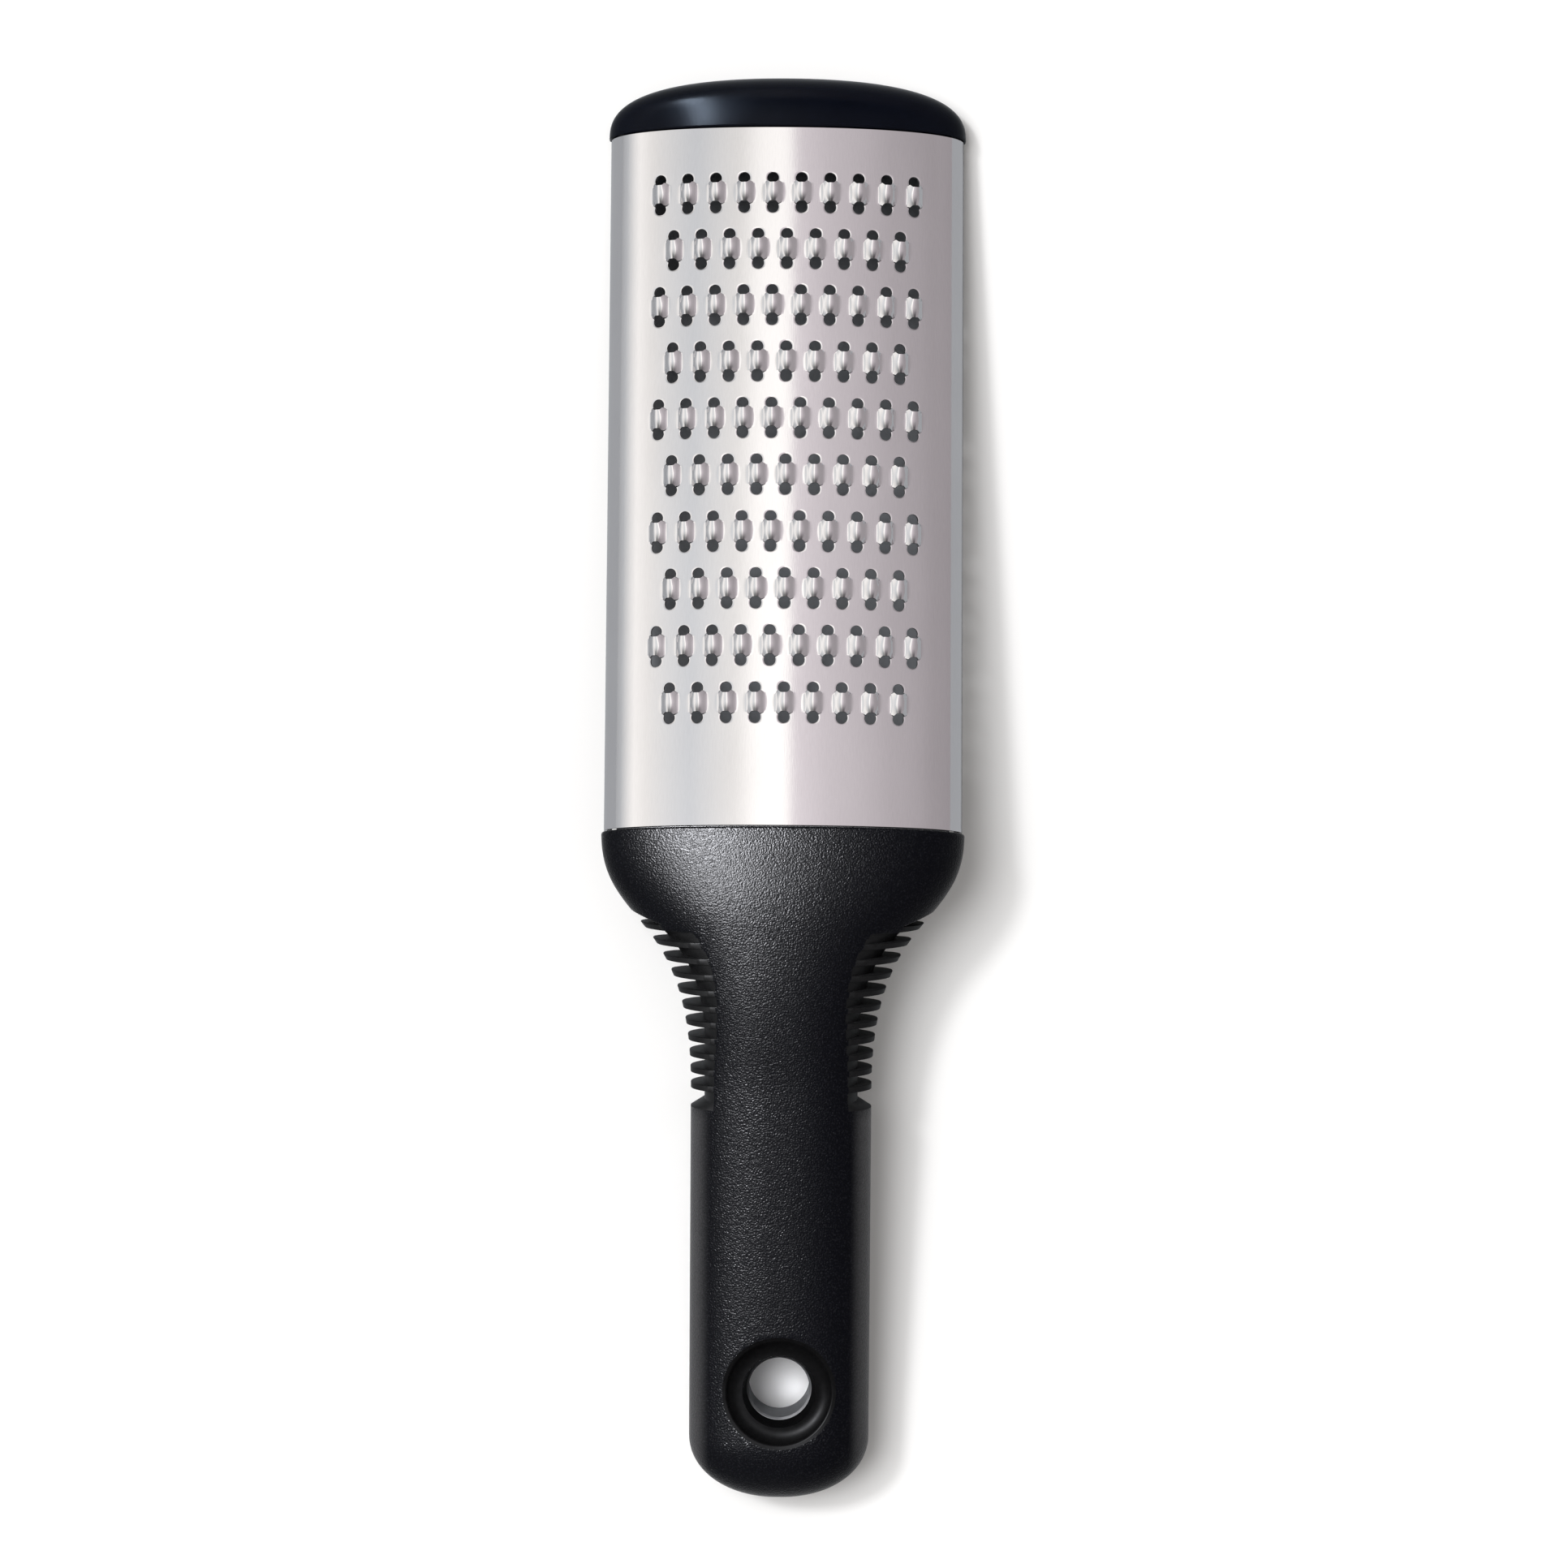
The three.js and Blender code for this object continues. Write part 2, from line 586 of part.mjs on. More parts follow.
// The core without its plug and bore, grown all round by a clearance.
function coreBody(clearance) {
  const face = -BLADE_LENGTH - SEAT_GAP;
  const head = archPoints(evenAngles(0), SHEET + SEAT_GAP - clearance);
  const floor = -BLADE_RISE - BULKHEAD_FLOOR - clearance;
  head.unshift(new THREE.Vector2(head[0].x, floor));
  head.push(new THREE.Vector2(head.at(-1).x, floor));
  const bulkhead = alongBlade(head, face - BULKHEAD - clearance, face + clearance);
  const rings = [];
  function addRing(s, halfWidth, top, bottom) {
    const grown = [halfWidth + clearance, top + clearance, bottom + clearance];
    rings.push(spineRing(s, ...grown, HANDLE_ROUNDNESS, SHOULDER_FLOOR_ROUNDNESS));
  }
  for (let k = 0; k <= CORE_NECK_STEPS; k += 1) {
    const s = THREE.MathUtils.lerp(BULKHEAD / 2, CORE_NECK_LENGTH, k / CORE_NECK_STEPS);
    const settle = smooth(s / CORE_NECK_LENGTH);
    addRing(
      s,
      waisted(s, CORE_NECK_HALF_WIDTH, TANG_HALF_WIDTH, CORE_NECK_REACH, CORE_NECK_REACH, CORE_NECK_LENGTH),
      THREE.MathUtils.lerp(CORE_NECK_TOP, TANG_HALF_HEIGHT, settle),
      THREE.MathUtils.lerp(CORE_NECK_BOTTOM, TANG_HALF_HEIGHT, settle),
    );
  }
  const tangEnd = HANDLE_LENGTH - HOLE_FROM_END;
  addRing(tangEnd - TANG_TAPER, TANG_HALF_WIDTH, TANG_HALF_HEIGHT, TANG_HALF_HEIGHT);
  addRing(tangEnd, TANG_TIP_HALF_WIDTH, TANG_TIP_HALF_HEIGHT, TANG_TIP_HALF_HEIGHT);
  const tang = solidFrom(loft(rings));
  const ring = eyelet(HOLE_RADIUS + EYELET_WALL + clearance, EYELET_LENGTH + 2 * clearance);
  return bulkhead.transform(HEAD.elements).add(tang).add(ring);
}

function handleCore() {
  const face = -BLADE_LENGTH - SEAT_GAP;
  const support = plug(face - BULKHEAD / 2, face + CORE_PLUG_LENGTH).transform(HEAD.elements);
  return coreBody(0).add(support).subtract(eyelet(HOLE_RADIUS, HANDLE_TOP + HANDLE_BOTTOM));
}

function handleGrip() {
  return gripBody()
    .subtract(finGrooves())
    .subtract(coreBody(SEAT_GAP))
    .subtract(hangHole())
    .subtract(floorBlock());
}

const STEEL = { color: 0xc9c7c9, roughness: 0.22, metalness: 1 };
const GLOSS_CAP = { color: 0x14171f, roughness: 0.18, metalness: 0 };
const SOFT_GRIP = { color: 0x1c1d1f, roughness: 0.72, metalness: 0 };
const CORE_PLASTIC = { color: 0x2b2e33, roughness: 0.5, metalness: 0 };
const FOOT_RUBBER = { color: 0x17181a, roughness: 0.85, metalness: 0 };

function part(name, solid, finish) {
  const mesh = new THREE.Mesh(geometryFrom(solid), new THREE.MeshStandardMaterial(finish));
  mesh.name = name;
  return mesh;
}

const head = new THREE.Group();
head.applyMatrix4(HEAD);
head.add(part('grating_blade', gratingBlade(), STEEL));
head.add(part('end_cap', endCap(), GLOSS_CAP));

const grater = new THREE.Group();
grater.add(head);
grater.add(part('non_slip_foot', nonSlipFoot(), FOOT_RUBBER));
grater.add(part('handle_core', handleCore(), CORE_PLASTIC));
grater.add(part('handle_grip', handleGrip(), SOFT_GRIP));

// The origin is on the table under the middle of the grater.
grater.updateMatrixWorld(true);
const middle = new THREE.Box3().setFromObject(grater, true).getCenter(new THREE.Vector3());
grater.position.y = -middle.y;

export default grater;
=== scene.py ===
# %% [markdown]
# # A hand-held rasp grater
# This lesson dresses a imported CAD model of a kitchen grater. The grater is a rigid hand tool: an arched
# steel blade full of bridge teeth, a glossy end cap on a soft foot, and a soft grip moulded over a stiff
# core. The CAD solids are right in size but coarse in facets. Each piece is built again here from the
# same rules, much finer, and then gets its finish. One could also smooth the CAD meshes with modifiers,
# but long triangles shade badly on polished steel, so fresh grids are the better choice.

# %% Load the frame
import math

import bmesh
import bpy
import numpy as np
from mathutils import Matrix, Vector


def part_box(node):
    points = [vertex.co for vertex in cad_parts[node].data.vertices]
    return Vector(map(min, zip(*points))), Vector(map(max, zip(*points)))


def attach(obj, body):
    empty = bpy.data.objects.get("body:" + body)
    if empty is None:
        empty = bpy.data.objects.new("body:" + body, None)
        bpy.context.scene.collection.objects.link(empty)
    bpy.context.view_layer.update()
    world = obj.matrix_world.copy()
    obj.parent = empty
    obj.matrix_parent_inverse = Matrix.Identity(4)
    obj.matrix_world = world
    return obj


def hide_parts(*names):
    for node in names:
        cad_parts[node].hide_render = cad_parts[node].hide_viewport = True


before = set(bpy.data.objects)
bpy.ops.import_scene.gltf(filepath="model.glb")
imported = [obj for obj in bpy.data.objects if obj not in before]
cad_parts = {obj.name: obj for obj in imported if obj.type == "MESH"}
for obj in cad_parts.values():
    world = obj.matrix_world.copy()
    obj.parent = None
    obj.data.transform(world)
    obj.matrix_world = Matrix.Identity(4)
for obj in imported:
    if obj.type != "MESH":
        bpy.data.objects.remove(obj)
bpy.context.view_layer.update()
MM = 0.001

# %% [markdown]
# ## The camera
# The grater lies on a table and is seen from straight above, with a long lens. A camera without any
# rotation looks down the Z axis in Blender, so only the small roll of the picture has to be set. The lens
# comes from the focal length in pixels: sensor width times focal length over image width.

# %% Camera
IMAGE_SIDE = 1932
FOCAL_PIXELS = 6254
CAMERA_PLACE = (0.15, 0.47, 1012)
CAMERA_ROLL = math.radians(0.40)

scene = bpy.context.scene
camera_lens = bpy.data.cameras.new("overhead_camera")
camera_lens.lens = camera_lens.sensor_width * FOCAL_PIXELS / IMAGE_SIDE
camera = bpy.data.objects.new("overhead_camera", camera_lens)
camera.location = Vector(CAMERA_PLACE) * MM
camera.rotation_euler = (0, 0, CAMERA_ROLL)
scene.collection.objects.link(camera)
scene.camera = camera
print("lens in mm:", round(camera_lens.lens, 1))

# %% [markdown]
# ## The arch that everything shares
# The blade, the cap, the plugs and the shoulder of the grip all follow one arch. It is a superellipse: an
# ellipse whose power can be a little over two, so that the crown is flatter and the sides are fuller. The
# blade tilts down towards the cap, so points are worked out in the blade's own frame (across, along,
# height) and then turned.

# %% Arch and blade frame
BLADE_LENGTH = 138
BLADE_HALF_WIDTH = 35
BLADE_RISE = 12.9
BLADE_ROUNDNESS = 2.1
BLADE_TILT = math.radians(6.8)
SHEET = 0.6
SKIRT = 1
BLADE_BOTTOM = -(BLADE_RISE + SKIRT + SHEET)
SEAT_GAP = 0.3
CAP_LENGTH = 12
FOOT_PROUD = 0.5
TILT_COS, TILT_SIN = math.cos(BLADE_TILT), math.sin(BLADE_TILT)
CROWN_HEIGHT = FOOT_PROUD + CAP_LENGTH * TILT_SIN - BLADE_BOTTOM * TILT_COS


def rounded(angle, power):
    """Superellipse point on the unit square, for an angle or an array of angles."""
    c, s = np.cos(angle), np.sin(angle)
    return np.sign(c) * np.abs(c) ** (2 / power), np.sign(s) * np.abs(s) ** (2 / power)


def arch(angle, inset):
    """Across and height of the arch at an angle, moved inwards by inset. The crown is at height 0."""
    x, h = rounded(angle, BLADE_ROUNDNESS)
    return x * (BLADE_HALF_WIDTH - inset), h * (BLADE_RISE - inset) - BLADE_RISE


blade_back = -BLADE_LENGTH * TILT_COS + BLADE_BOTTOM * TILT_SIN
CROWN_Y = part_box("grating_blade")[0].y / MM - blade_back


def from_blade(points):
    """Points of the blade's frame, as rows of (across, along, height), in the row frame. Millimetres."""
    x, v, h = np.asarray(points, float).T
    y = TILT_COS * v + TILT_SIN * h + CROWN_Y
    z = TILT_COS * h - TILT_SIN * v + CROWN_HEIGHT
    return np.stack([x, y, z], 1)


print("crown where cap and blade meet, in mm:", round(CROWN_Y, 2), round(CROWN_HEIGHT, 2))

# %% [markdown]
# ## From points to a piece
# Every piece ends as one mesh object that rides on the CAD body and stands for its CAD node. Smooth
# shading makes the fine grids look round, and edges sharper than a limit stay crisp. Pieces that seat
# in each other are joined or cut with a boolean modifier, which is applied at once, so that every mesh
# ends closed.

# %% Piece maker
CREASE = math.radians(38)
WELD = 1e-6


def clean(mesh):
    """Joins points that lie on each other, drops spare points on edges and turns all faces outwards."""
    shape = bmesh.new()
    shape.from_mesh(mesh)
    bmesh.ops.remove_doubles(shape, verts=shape.verts, dist=WELD)
    spare = [point for point in shape.verts if len(point.link_edges) == 2]
    bmesh.ops.dissolve_verts(shape, verts=spare)
    bmesh.ops.recalc_face_normals(shape, faces=shape.faces)
    shape.to_mesh(mesh)
    shape.free()


def make_mesh(name, points, faces, finishes=None):
    """A mesh object from millimetre points and faces, with a number for the finish of each face."""
    mesh = bpy.data.meshes.new(name)
    mesh.from_pydata((np.asarray(points) * MM).tolist(), [], [list(face) for face in faces])
    if finishes is not None:
        mesh.polygons.foreach_set("material_index", finishes)
    clean(mesh)
    made = bpy.data.objects.new(name, mesh)
    scene.collection.objects.link(made)
    return made


def combine(body, operation, shell, finish=0):
    """Joins a closed shell to a body ("UNION"), or takes it out ("DIFFERENCE")."""
    points, faces = shell
    tool = make_mesh("boolean_tool", points, faces, [finish] * len(faces))
    step = body.modifiers.new("step", "BOOLEAN")
    step.object, step.operation, step.solver = tool, operation, "EXACT"
    worked_out = body.evaluated_get(bpy.context.evaluated_depsgraph_get())
    body.data = bpy.data.meshes.new_from_object(worked_out)
    body.modifiers.clear()
    bpy.data.objects.remove(tool)
    clean(body.data)


def seat(made, node):
    """Shades a piece, puts it on the body and lets it stand for its CAD node."""
    made.data.shade_smooth()
    made.data.set_sharp_from_angle(angle=CREASE)
    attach(made, "root")
    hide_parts(node)
    print(made.name, "has", len(made.data.vertices), "points and", len(made.data.polygons), "faces")


def loft(rings):
    """Points and faces of a skin over rings that have the same number of points, with a fan at each end."""
    count = len(rings[0])
    last = (len(rings) - 1) * count
    start_middle, end_middle = last + count, last + count + 1
    faces = []
    for i in range(count):
        after = (i + 1) % count
        faces += [(r + i, r + after, r + after + count, r + i + count) for r in range(0, last, count)]
        faces += [(after, i, start_middle), (last + i, last + after, end_middle)]
    middles = [np.mean(rings[0], axis=0), np.mean(rings[-1], axis=0)]
    return np.concatenate([np.stack(rings).reshape(-1, 3), middles]), faces


def joined(shells):
    """Several (points, faces) shells as one."""
    points, faces, start = [], [], 0
    for shell_points, shell_faces in shells:
        points.append(np.asarray(shell_points, float))
        faces += [[start + i for i in face] for face in shell_faces]
        start += len(shell_points)
    return np.concatenate(points), faces


print("edges stay crisp from", round(math.degrees(CREASE)), "degrees on")

# %% [markdown]
# ## The sheet's section
# The blade is one pressed sheet. Its long edges are hemmed: the sheet goes down the side, rolls round and
# comes back up inside. Half of the section is kept as a path with a length, so that any point of the flat
# sheet can be bent onto it: first a distance from the crown, then a lift along the outward direction
# there.

# %% Bending a flat sheet onto the arch
HEM_RADIUS = 0.65
HEM_HEIGHT = 3.5
OVER_STEPS, ROLL_STEPS, LEAF_STEPS = 900, 60, 200
LEAF_TURN = 0.5


def section_path():
    """Half of the section, from the crown to the hem's inner lip, and the lengths where its parts end."""
    over = np.stack(arch(np.linspace(math.pi / 2, 0, OVER_STEPS), 0), 1)
    turn = np.linspace(0, -math.pi, ROLL_STEPS)[1:]
    hem_x, hem_h = BLADE_HALF_WIDTH - HEM_RADIUS, BLADE_BOTTOM + HEM_RADIUS
    roll = np.stack([hem_x + HEM_RADIUS * np.cos(turn), hem_h + HEM_RADIUS * np.sin(turn)], 1)
    inner = np.stack(arch(np.linspace(0, LEAF_TURN, LEAF_STEPS), 2 * HEM_RADIUS), 1)
    leaf = inner[inner[:, 1] < BLADE_BOTTOM + HEM_HEIGHT]
    path = np.concatenate([over, [[BLADE_HALF_WIDTH, hem_h]], roll, leaf])
    lengths = np.concatenate([[0], np.cumsum(np.linalg.norm(np.diff(path, axis=0), axis=1))])
    ends = lengths[[len(over) - 1, len(over), len(over) + len(roll), -1]]
    return path, lengths, ends


PATH, PATH_LENGTHS, PATH_ENDS = section_path()
PATH_TURN = np.gradient(PATH, PATH_LENGTHS, axis=0)
PATH_TURN /= np.linalg.norm(PATH_TURN, axis=1)[:, None]


def bent(arc, v, lift):
    """Flat sheet positions (distance across from the crown, along, lift) on the arched blade."""
    side = np.sign(arc) + (arc == 0)
    x, h, dx, dh = (
        np.interp(np.abs(arc), PATH_LENGTHS, column)
        for column in (PATH[:, 0], PATH[:, 1], PATH_TURN[:, 0], PATH_TURN[:, 1])
    )
    return np.stack([side * (x - lift * dh), v, h + lift * dx], 1)


print("half section in mm:", [round(float(end), 2) for end in PATH_ENDS])

# %% [markdown]
# ## One bridge tooth
# A tooth is two holes with a strip of the sheet between them that is pushed up into a low vault. It is
# open at both ends, so it cuts both ways, and its ends flare up a little into cutting edges. A slit runs
# from each hole along the end of the strip. One could cut the holes with booleans, but a grid laid
# round each hole keeps the polished sheet smooth: rings lead from the hole to the edge of a rectangular
# cell, and all cells share their edge points.

# %% Tooth sizes and its vault
TOOTH_PITCH = 5.62
ROW_PITCH = 11.2
HALF_ROW = ROW_PITCH / 2
HALF_PITCH = TOOTH_PITCH / 2
HOLE_RADIUS = 1.17
HOLE_PLACE = 2.88
HOLE_LIP = math.radians(-25)
LIP_X, LIP_Y = HOLE_RADIUS * math.cos(HOLE_LIP), HOLE_PLACE + HOLE_RADIUS * math.sin(HOLE_LIP)
HALF_BRIDGE = 1.83
BRIDGE_RISE = 0.74
BRIDGE_FLARE = 0.3
RIDGE_PLACE = 0.12
SLIT_LEFT, SLIT_RIGHT, SLIT_TIP = -1.5, 1.75, 2.0
SLIT_GAP = 0.12
SKIRT_REACH, SKIRT_RISE = 0.6, 0.08
RIM_WIDTH, RIM_DROP, RIM_LIMIT = 0.12, 0.04, 0.4
RING_SHARES = (0, 0.12, 0.5)
CELL_STEPS, SIDE_STEPS, SHELF_STEPS = 10, 4, 3
LIP_STEPS, BRIDGE_STEPS, LENGTH_STEPS = 2, 12, 8
TINY = 1e-6


def strip_end(p):
    """How far the strip reaches at p: level in the middle, round the hole, then back along the slit."""
    lip = LIP_Y - SLIT_GAP
    round_hole = HOLE_PLACE - np.sqrt(np.maximum(HOLE_RADIUS**2 - p**2, 0))
    knots = [-HALF_PITCH, SLIT_LEFT, -LIP_X, LIP_X, SLIT_RIGHT, HALF_PITCH]
    slit = np.interp(p, knots, [HALF_BRIDGE, SLIT_TIP, lip, lip, SLIT_TIP, HALF_BRIDGE])
    return np.where(np.abs(p) < LIP_X, np.clip(round_hole, HALF_BRIDGE, lip), slit)


def vault(p, t):
    """Lift of the strip at p across, and at a share t of the way from its middle to its end."""
    foot = np.where(p < RIDGE_PLACE, SLIT_LEFT, SLIT_RIGHT)
    share = (p - RIDGE_PLACE) / (foot - RIDGE_PLACE)
    curve = np.clip(1 - share**2, 0, 1) * (BRIDGE_RISE + BRIDGE_FLARE * t**2)
    skirt = SKIRT_RISE * (1 - t**2)
    fade = np.clip(np.abs(p - foot) / (SKIRT_REACH * (1 - t**2) + TINY), 0, 1)
    return np.where(share < 1, np.hypot(curve, skirt), skirt * (1 - fade) ** 2)


print("vault at its middle and its end, in mm:", vault(np.zeros(2), np.array([0, 1])).round(2))

# %% [markdown]
# ### The cell round a tooth
# The upper hole's grid runs from the left tip of its slit, over the top of the hole, to the right tip.
# Its outside follows the edge of the cell. The lower hole is the same grid turned over. The strip between
# them has ends that go round the two holes, so its columns are spaced like points on a circle.

# %% Cell of one tooth
def hole_edge():
    """The hole's outline from the left tip of its slit, over the top of the hole, to the right tip."""
    turns = 2 * SHELF_STEPS + 2 * SIDE_STEPS + CELL_STEPS - 2 * LIP_STEPS
    angles = np.linspace(math.pi - HOLE_LIP, HOLE_LIP, turns + 1)
    round_hole = np.stack([HOLE_RADIUS * np.cos(angles), HOLE_PLACE + HOLE_RADIUS * np.sin(angles)], 1)
    left = np.linspace((SLIT_LEFT, SLIT_TIP), round_hole[0], LIP_STEPS + 1)[:-1]
    right = np.linspace(round_hole[-1], (SLIT_RIGHT, SLIT_TIP), LIP_STEPS + 1)[1:]
    return np.concatenate([left, round_hole, right])


def cell_edge():
    """The cell's upper half outline from the left tip of the slit, round the cell, to the right tip."""
    corners = [(SLIT_LEFT, SLIT_TIP), (-HALF_PITCH, HALF_BRIDGE), (-HALF_PITCH, HALF_ROW)]
    corners += [(HALF_PITCH, HALF_ROW), (HALF_PITCH, HALF_BRIDGE), (SLIT_RIGHT, SLIT_TIP)]
    steps = [SHELF_STEPS, SIDE_STEPS, CELL_STEPS, SIDE_STEPS, SHELF_STEPS]
    sides = [np.linspace(corners[i], corners[i + 1], steps[i] + 1)[:-1] for i in range(len(steps))]
    return np.concatenate([*sides, [corners[-1]]])


def grid_faces(rows, columns, turned=False):
    faces = []
    for r in range(rows - 1):
        for c in range(columns - 1):
            a = r * columns + c
            face = (a, a + 1, a + columns + 1, a + columns)
            faces.append(face[::-1] if turned else face)
    return faces


def tooth_cell():
    """Flat points (p, q, lift) and faces of one tooth's cell."""
    hole, edge = hole_edge(), cell_edge()
    away = edge - hole
    far = np.linalg.norm(away, axis=1)[:, None]
    rim = hole + away / np.maximum(far, TINY) * np.minimum(RIM_WIDTH, RIM_LIMIT * far)
    rings = [hole, *[rim + (edge - rim) * share for share in RING_SHARES], edge]
    drop = np.zeros((len(rings), len(hole)))
    drop[0, 1:-1] = -RIM_DROP
    upper = np.column_stack([np.concatenate(rings), drop.ravel()])
    lower = upper * (1, -1, 1)
    columns = np.concatenate([
        np.linspace(-HALF_PITCH, SLIT_LEFT, SHELF_STEPS + 1)[:-1],
        np.linspace(SLIT_LEFT, -LIP_X, LIP_STEPS + 1)[:-1],
        LIP_X * np.sin(np.linspace(-math.pi / 2, math.pi / 2, BRIDGE_STEPS + 1)),
        np.linspace(LIP_X, SLIT_RIGHT, LIP_STEPS + 1)[1:],
        np.linspace(SLIT_RIGHT, HALF_PITCH, SHELF_STEPS + 1)[1:],
    ])
    p, t = np.meshgrid(columns, np.linspace(-1, 1, LENGTH_STEPS + 1))
    strip = np.column_stack([p.ravel(), (t * strip_end(p)).ravel(), vault(p, t).ravel()])
    shells = [
        (upper, grid_faces(len(rings), len(hole))),
        (lower, grid_faces(len(rings), len(hole), turned=True)),
        (strip, grid_faces(*p.shape)),
    ]
    return joined(shells)


TOOTH_POINTS, TOOTH_FACES = tooth_cell()
print("one tooth's cell has", len(TOOTH_POINTS), "points")

# %% [markdown]
# ## The whole blade
# Ten rows of cells, ten and nine teeth by turns, make the middle of the flat sheet. Plain grids make the
# ends, the half cells beside the short rows, and the two sides with their hems. All of it is bent onto
# the arch at once, and so is a copy that lies deeper by the thickness of the sheet. A rim joins the two
# wherever the sheet has an open edge.

# %% Blade
TOOTH_ROWS = 10
LONG_ROW = 10
FIRST_ROW = 13.3
FIELD = LONG_ROW * HALF_PITCH
PATH_STEPS = (8, 1, 8, 3)
FRONT_STATIONS, BACK_STATIONS = 7, 13
SHEET_WELD = 1e-5
SIDE_COLUMNS = np.unique(np.concatenate([
    np.linspace(start, end, steps + 1)
    for start, end, steps in zip([FIELD, *PATH_ENDS[:-1]], PATH_ENDS, PATH_STEPS)
]))
FIELD_COLUMNS = np.linspace(-FIELD, FIELD, LONG_ROW * CELL_STEPS + 1)
ROW_STATIONS = np.concatenate([
    np.linspace(-HALF_ROW, -HALF_BRIDGE, SIDE_STEPS + 1)[:-1],
    np.linspace(-HALF_BRIDGE, HALF_BRIDGE, LENGTH_STEPS + 1)[:-1],
    np.linspace(HALF_BRIDGE, HALF_ROW, SIDE_STEPS + 1),
])


def plain(arcs, stations):
    """A plain piece of flat sheet over the given columns and stations."""
    a, v = np.meshgrid(arcs, stations)
    return np.column_stack([a.ravel(), v.ravel(), 0 * a.ravel()]), grid_faces(*a.shape)


def flat_sheet():
    """The whole sheet, still flat: (distance across, along, lift) and faces."""
    row_places = [-FIRST_ROW - row * ROW_PITCH for row in range(TOOTH_ROWS)]
    front = np.linspace(row_places[0] + HALF_ROW, -SEAT_GAP, FRONT_STATIONS)
    back = np.linspace(-BLADE_LENGTH, row_places[-1] - HALF_ROW, BACK_STATIONS)
    rows = [place + ROW_STATIONS for place in row_places]
    stations = np.unique(np.round(np.concatenate([back, front, *rows]), 6))
    shells = [plain(FIELD_COLUMNS, front), plain(FIELD_COLUMNS, back)]
    shells += [plain(SIDE_COLUMNS, stations), plain(-SIDE_COLUMNS[::-1], stations)]
    for row, place in enumerate(row_places):
        teeth = LONG_ROW - row % 2
        for column in range(teeth):
            middle = (column - (teeth - 1) / 2) * TOOTH_PITCH
            shells.append((TOOTH_POINTS + (middle, place, 0), TOOTH_FACES))
        if teeth < LONG_ROW:
            spare = CELL_STEPS // 2 + 1
            shells.append(plain(FIELD_COLUMNS[:spare], place + ROW_STATIONS))
            shells.append(plain(FIELD_COLUMNS[-spare:], place + ROW_STATIONS))
    return joined(shells)


def welded(points, faces):
    """Joins points that are the same to within a small step, and drops faces that vanish."""
    keys = np.round(points / SHEET_WELD).astype(int)
    _, first, place = np.unique(keys, axis=0, return_index=True, return_inverse=True)
    place = place.ravel()
    kept = []
    for face in faces:
        corners = list(dict.fromkeys(int(place[i]) for i in face))
        if len(corners) > 2:
            kept.append(corners)
    return points[first], kept


def thickened(points, faces, depth):
    """The bent sheet with its inner copy and a rim round every open edge."""
    open_edges = {}
    for face in faces:
        for a, b in zip(face, [*face[1:], face[0]]):
            if (b, a) in open_edges:
                del open_edges[b, a]
            else:
                open_edges[a, b] = True
    count = len(points)
    inner = [[i + count for i in reversed(face)] for face in faces]
    rim = [[b, a, a + count, b + count] for a, b in open_edges]
    deeper = points - (0, 0, depth)
    return np.concatenate([bent(*points.T), bent(*deeper.T)]), [*faces, *inner, *rim]


flat_points, flat_faces = welded(*flat_sheet())
sheet_points, sheet_faces = thickened(flat_points, flat_faces, SHEET)
side_count = len(flat_faces)
inside = np.zeros(len(sheet_faces), int)
inside[side_count:2 * side_count] = 1
blade = make_mesh("blade_sheet", from_blade(sheet_points), sheet_faces, inside)
seat(blade, "grating_blade")
print("faces of the sheet's inside:", side_count, "and of its rims:", len(sheet_faces) - 2 * side_count)

# %% [markdown]
# ## The end cap
# A glossy moulding closes the far end. In plan it is a flat-fronted oval, and its crown falls towards the
# front. A stack of arches that shrink along those two curves gives the dome. A short arched plug slides
# in under the sheet.

# %% End cap
CAP_PROUD = 0.4
CAP_PLAN_ROUNDNESS = 2.65
CAP_CROWN_ROUNDNESS = 2.8
CAP_RINGS = 44
CAP_NOSE = 0.992
PLUG_LENGTH = 7
PLUG_WALL = 2
PLUG_SPREAD = 0.32
PLUG_LAP = 0.1
PLUG_EASE = 0.05
CAP_EDGE = 0.25
ARCH_STEPS = 120


def cap_plan(angle, inset):
    across, along = rounded(angle, CAP_PLAN_ROUNDNESS)
    return across * (BLADE_HALF_WIDTH + CAP_PROUD - inset), along * (CAP_LENGTH - inset)


def cap_ring(angle, edge=0.0):
    """One arch of the dome, from the junction (angle 0) to the front (a quarter turn)."""
    half_width, reach = cap_plan(angle, 0)
    taper = half_width / (BLADE_HALF_WIDTH + CAP_PROUD)
    lift = (1 - (reach / CAP_LENGTH) ** CAP_CROWN_ROUNDNESS) ** (1 / CAP_CROWN_ROUNDNESS)
    x, h = arch(np.linspace(0, math.pi, ARCH_STEPS + 1), edge - CAP_PROUD)
    x = np.concatenate([[x[0]], x, [x[-1]]]) * taper
    h = np.concatenate([[BLADE_BOTTOM + edge], h, [BLADE_BOTTOM + edge]])
    return np.column_stack([x, np.full_like(x, reach), BLADE_BOTTOM + (h - BLADE_BOTTOM) * lift])


def cap_dome():
    """The dome from its eased back edge to its front, which ends a little short of the pole."""
    rings = [cap_ring(angle) for angle in np.linspace(0, CAP_NOSE * math.pi / 2, CAP_RINGS)]
    rings[0][:, 1] = CAP_EDGE
    kept = [ring for ring in rings if ring[0, 1] >= CAP_EDGE]
    points, faces = loft([cap_ring(0, CAP_EDGE), *kept])
    return from_blade(points), faces


